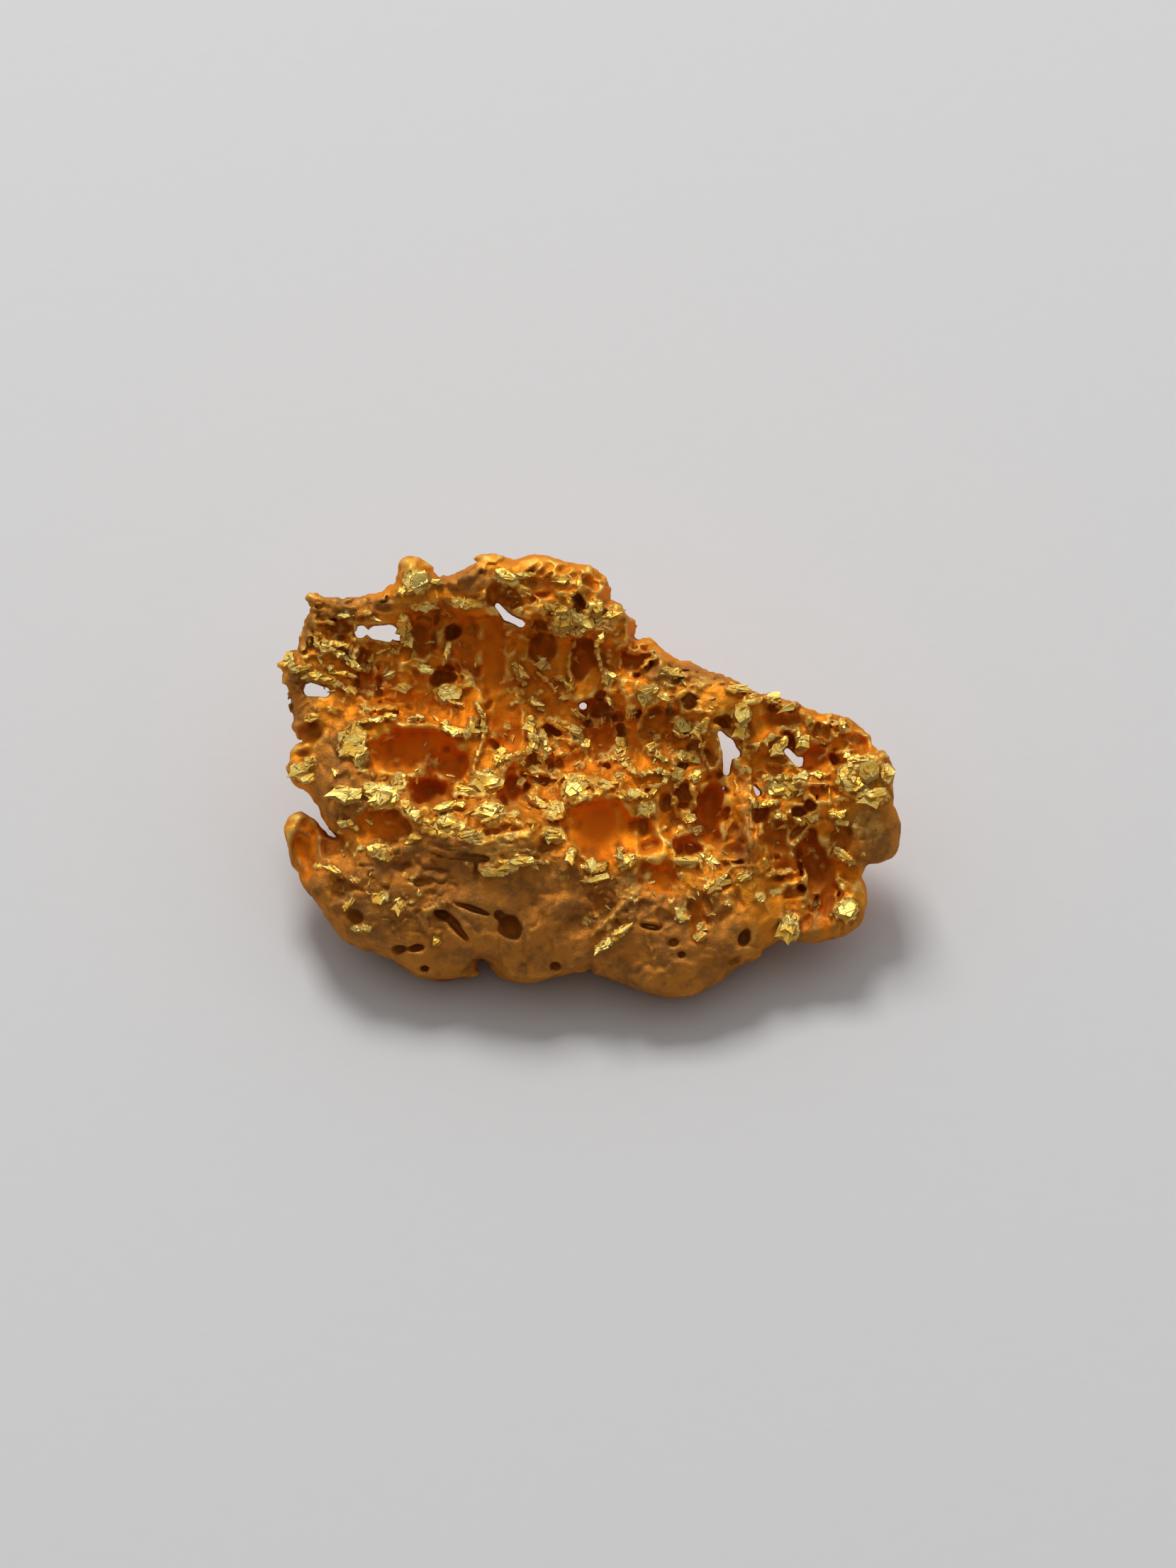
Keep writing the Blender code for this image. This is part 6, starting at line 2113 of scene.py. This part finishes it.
@dataclass(frozen=True)
class GoldFinish:
    """Native gold: a worn matte skin, with painted shade and reflection in its hollows and creases and
    painted highlights on its crystal faces.

    Attributes:
        base: Colour of the gold.
        skin: Colour of the worn matte skin.
        dull: Colour where the skin is greyed.
        floor: Colour painted on the sunken floors, a redder orange that stands in for gold-on-gold reflection
            there.
        hollow: Colour painted deep down in the pits, a darker red that stands in for their shade and
            gold-on-gold reflection.
        bright: Colour of the painted highlight on ridges and crystal faces.
        pale: Colour of the palest painted highlight on crystal faces.
        dirt: Colour of the painted shade in the creases, round the raised crust and on the plates' sides.
        edge: Colour that the gold takes at a glancing angle.
        mottle: Noise that greys the skin: its scale, finer layers and roughness.
        spots: Noise that spots the floors.
        flecks: Noise that paints some highlighted faces paler.
        gloss: Noise that dulls the gold here and there.
        dents: Noise of the fine dents.
        grain: Noise of the finest grain.
        dent_depth: Depth of the fine dents, in metres.
        grain_depth: Depth of the finest grain, in metres.
    """

    base: Colour = (0.82, 0.285, 0.018, 1.0)
    skin: Colour = (0.62, 0.24, 0.035, 1.0)
    dull: Colour = (0.36, 0.15, 0.038, 1.0)
    floor: Colour = (0.92, 0.27, 0.01, 1.0)
    hollow: Colour = (0.8, 0.19, 0.006, 1.0)
    bright: Colour = (1.0, 0.58, 0.085, 1.0)
    pale: Colour = (1.0, 0.76, 0.21, 1.0)
    dirt: Colour = (0.32, 0.115, 0.018, 1.0)
    edge: Colour = (0.5, 0.3, 0.12, 1.0)
    mottle: Triple = (1500.0, 8.0, 0.74)
    spots: Triple = (1900.0, 3.0, 0.55)
    flecks: Triple = (2600.0, 2.0, 0.5)
    gloss: Triple = (2500.0, 3.0, 0.5)
    dents: Triple = (3500.0, 4.0, 0.6)
    grain: Triple = (14000.0, 3.0, 0.6)
    dent_depth: float = 0.00008
    grain_depth: float = 0.00002

    def colour(
        self, loom: Loom, place: bpy.types.NodeSocket, shine: bpy.types.NodeSocket
    ) -> bpy.types.NodeSocket:
        """Lay the nodes of the gold's colour.

        Args:
            loom: The tree's helper.
            place: The socket of places on the gold.
            shine: How polished the gold is, and how strongly its colour is painted with a highlight.

        Returns:
            The colour's socket.
        """
        # the sunken floors and the deep hollows are painted the reddest, a painted gold-on-gold reflection
        # and shade in the recesses; the worn skin is greyed in patches
        raised = loom.trait(Trait.RAISED)
        deep = loom.ramped(loom.trait(Trait.CAVITY), 0.3, 0.9)
        low = loom.calc("MULTIPLY", loom.trait(Trait.FLOOR), loom.ramped(raised, 0.5, 0.75, 1.0, 0.0))
        greyed = loom.ramped(loom.noise(place, *self.mottle), 0.42, 0.62)
        worn = loom.tint(greyed, self.skin, self.dull)
        colour = loom.tint(loom.trait(Trait.WORN), self.base, worn)
        spotted = loom.ramped(loom.noise(place, *self.spots), 0.2, 0.55, 0.6, 1.0)
        low = loom.calc("MULTIPLY", low, spotted)
        colour = loom.tint(low, colour, self.floor)
        colour = loom.tint(deep, colour, self.hollow)
        # raised and crystal faces are painted pale yellow, a painted highlight, and painted shade darkens the
        # creases and the ground round the plates
        flecks = loom.ramped(loom.noise(place, *self.flecks), 0.42, 0.58)
        colour = loom.tint(shine, colour, loom.tint(flecks, self.bright, self.pale))
        # painted shade: concave creases and the painted shade trait darken the colour
        crease = loom.ramped(raised, 0.08, 0.4, 0.65, 0.0)
        halo = loom.calc("MULTIPLY", loom.trait(Trait.DIRT), 0.7)
        return loom.tint(loom.calc("MAXIMUM", crease, halo), colour, self.dirt)

    def material(self) -> bpy.types.Material:
        """Build the gold as a node material.

        Returns:
            The material.
        """
        made = bpy.data.materials.new("native_gold")
        made.use_nodes = True
        made.node_tree.nodes.clear()
        loom = Loom(made.node_tree)
        place = loom.node("ShaderNodeTexCoord").outputs["Object"]
        worn = loom.trait(Trait.WORN)
        # what stands proud is polished and painted with a highlight, less so where the skin is worn, and
        # crystal faces most: the polish lowers the roughness, the painted highlight lightens the colour
        proud = loom.ramped(loom.trait(Trait.RAISED), 0.6, 0.85)
        shine = loom.calc("MULTIPLY", proud, loom.calc("MULTIPLY_ADD", worn, -0.5, 0.55))
        shine = loom.calc("MAXIMUM", shine, loom.ramped(loom.trait(Trait.GLINT), 0.1, 0.62))
        rough = loom.ramped(loom.noise(place, *self.gloss), 0.3, 0.7, 0.54, 0.66)
        rough = loom.calc("MULTIPLY_ADD", shine, -0.27, rough)
        rough = loom.calc("MULTIPLY_ADD", worn, 0.08, rough)
        dents = loom.bump(loom.noise(place, *self.dents), 0.5, self.dent_depth)
        normal = loom.bump(loom.noise(place, *self.grain), 0.35, self.grain_depth, dents)
        metal = loom.ramped(loom.trait(Trait.CAVITY), 0.15, 0.8, 0.58, 0.15)
        surface = loom.node(
            "ShaderNodeBsdfPrincipled",
            {
                "Metallic": loom.calc("MULTIPLY_ADD", shine, -0.25, metal),
                "Specular IOR Level": 0.3,
                "Specular Tint": self.edge,
                "Base Color": self.colour(loom, place, shine),
                "Roughness": rough,
                "Normal": normal,
            },
        )
        output = loom.node("ShaderNodeOutputMaterial")
        loom.feed(output.inputs["Surface"], surface.outputs[0])
        return made


@dataclass(frozen=True)
class PaperFinish:
    """Pale matte paper with faint fibres.

    Attributes:
        colour: Colour of the paper.
        fleck: Colour of its fibres.
        fibres: Noise of the fibres: its scale, finer layers and roughness.
        relief: How high the fibres stand, in metres.
    """

    colour: Colour = (0.64, 0.64, 0.645, 1.0)
    fleck: Colour = (0.55, 0.55, 0.55, 1.0)
    fibres: Triple = (1500.0, 5.0, 0.7)
    relief: float = 0.00005

    def material(self) -> bpy.types.Material:
        """Build the paper as a node material.

        Returns:
            The material.
        """
        made = bpy.data.materials.new("pale_paper")
        made.use_nodes = True
        loom = Loom(made.node_tree)
        place = loom.node("ShaderNodeTexCoord").outputs["Object"]
        fibres = loom.noise(place, *self.fibres)
        surface = made.node_tree.nodes["Principled BSDF"].inputs
        flecked = loom.tint(loom.ramped(fibres, 0.3, 0.7, 0.0, 0.06), self.colour, self.fleck)
        loom.feed(surface["Base Color"], flecked)
        loom.feed(surface["Normal"], loom.bump(fibres, 0.15, self.relief))
        surface["Roughness"].default_value = 0.9
        surface["Specular IOR Level"].default_value = 0.2
        return made


@dataclass(frozen=True)
class Lamp:
    """A square soft light that hangs over the table and points at its middle.

    Attributes:
        name: Its name.
        place: Where it hangs, in metres.
        size: Its side, in metres.
        power: Its power in watts.
        colour: Its colour.
    """

    name: str
    place: Triple
    size: float
    power: float
    colour: Triple

    def build(self) -> bpy.types.Object:
        """Hang the light.

        Returns:
            The light's object.
        """
        light = bpy.data.lights.new(self.name, "AREA")
        light.shape = "SQUARE"
        light.size = self.size
        light.energy = self.power
        light.color = self.colour
        hung = bpy.data.objects.new(self.name, light)
        hung.location = self.place
        hung.rotation_euler = (-Vector(self.place)).to_track_quat("-Z", "Y").to_euler()
        bpy.context.scene.collection.objects.link(hung)
        return hung


@dataclass(frozen=True)
class Studio:
    """The pale table, the soft lights and the camera.

    Attributes:
        paper: What the table is covered with.
        lamps: The soft lights.
        glow: Strength of the surroundings low in front, and high at the back.
        distance: How far away the camera stands, in metres.
        frame_height: Height of what the camera sees, in metres.
        elevation: How far the camera looks down, in degrees.
        half_table: Half the side of the table top, in metres.
        sensor: Height of the camera's sensor, in millimetres.
        clip: The nearest and the farthest that the camera sees, in metres.
    """

    paper: PaperFinish = field(default_factory=PaperFinish)
    lamps: tuple[Lamp, ...] = (
        Lamp("window", (-0.045, 0.175, 0.26), 0.1, 0.62, (1.0, 0.99, 0.98)),
    )
    glow: tuple[float, float] = (0.09, 0.69)
    distance: float = 0.25
    frame_height: float = 0.04424
    elevation: float = 55.0
    half_table: float = 0.5
    sensor: float = 24.0
    clip: tuple[float, float] = (0.01, 10.0)

    def table(self) -> bpy.types.Object:
        """Make the table top.

        Returns:
            The table's object.
        """
        mesh = bpy.data.meshes.new("table")
        half = self.half_table
        corners = [(-half, -half, 0.0), (half, -half, 0.0), (half, half, 0.0), (-half, half, 0.0)]
        mesh.from_pydata(corners, [], [(0, 1, 2, 3)])
        mesh.materials.append(self.paper.material())
        table = placed("table", mesh)
        return table

    def surroundings(self) -> None:
        """Set the soft room light, dim in front and brighter at the back and above."""
        world = bpy.data.worlds.new("soft_room")
        world.use_nodes = True
        loom = Loom(world.node_tree)
        background = world.node_tree.nodes["Background"]
        parts = loom.node("ShaderNodeSeparateXYZ", {0: loom.node("ShaderNodeTexCoord").outputs["Generated"]})
        above = loom.calc("MULTIPLY", parts.outputs["Z"], 0.6)
        toward = loom.calc("MULTIPLY_ADD", parts.outputs["Y"], 0.5, above)
        loom.feed(background.inputs["Strength"], loom.ramped(toward, -0.3, 0.9, *self.glow))
        background.inputs["Color"].default_value = (1.0, 0.995, 0.99, 1.0)
        bpy.context.scene.world = world

    def camera(self, stance: Stance) -> bpy.types.Object:
        """Stand the camera straight in front of the nugget's face.

        Args:
            stance: How the face lies.

        Returns:
            The camera.
        """
        lens = bpy.data.cameras.new("camera")
        lens.sensor_fit = "VERTICAL"
        lens.sensor_height = self.sensor
        lens.lens = self.sensor * self.distance / self.frame_height
        lens.clip_start, lens.clip_end = self.clip
        stood = bpy.data.objects.new("camera", lens)
        tilt = math.radians(self.elevation)
        aim = Vector((0.0, -math.cos(tilt), math.sin(tilt)))
        stood.location = Vector(stance.origin) * METRES_PER_MM + self.distance * aim
        stood.rotation_euler = (math.radians(90.0 - self.elevation), 0.0, 0.0)
        bpy.context.scene.collection.objects.link(stood)
        bpy.context.scene.camera = stood
        return stood

    def build(self, stance: Stance) -> None:
        """Set up the whole studio.

        Args:
            stance: How the nugget's face lies.
        """
        self.table()
        self.surroundings()
        for lamp in self.lamps:
            lamp.build()
        self.camera(stance)
        bpy.context.scene.view_settings.view_transform = "Standard"


def main() -> None:
    """Build the nugget and the studio."""
    logging.basicConfig(level=logging.INFO, format="%(name)s: %(message)s")
    nugget = Nugget()
    pieces = nugget.build(Ridges(), Flakes(), GoldFinish().material())
    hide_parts("nugget")
    for piece in pieces:
        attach(piece, "root")
        LOG.info("%s: %d faces", piece.name, len(piece.data.polygons))
    Studio().build(nugget.stance)
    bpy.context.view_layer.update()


if __name__ == "__main__":
    main()
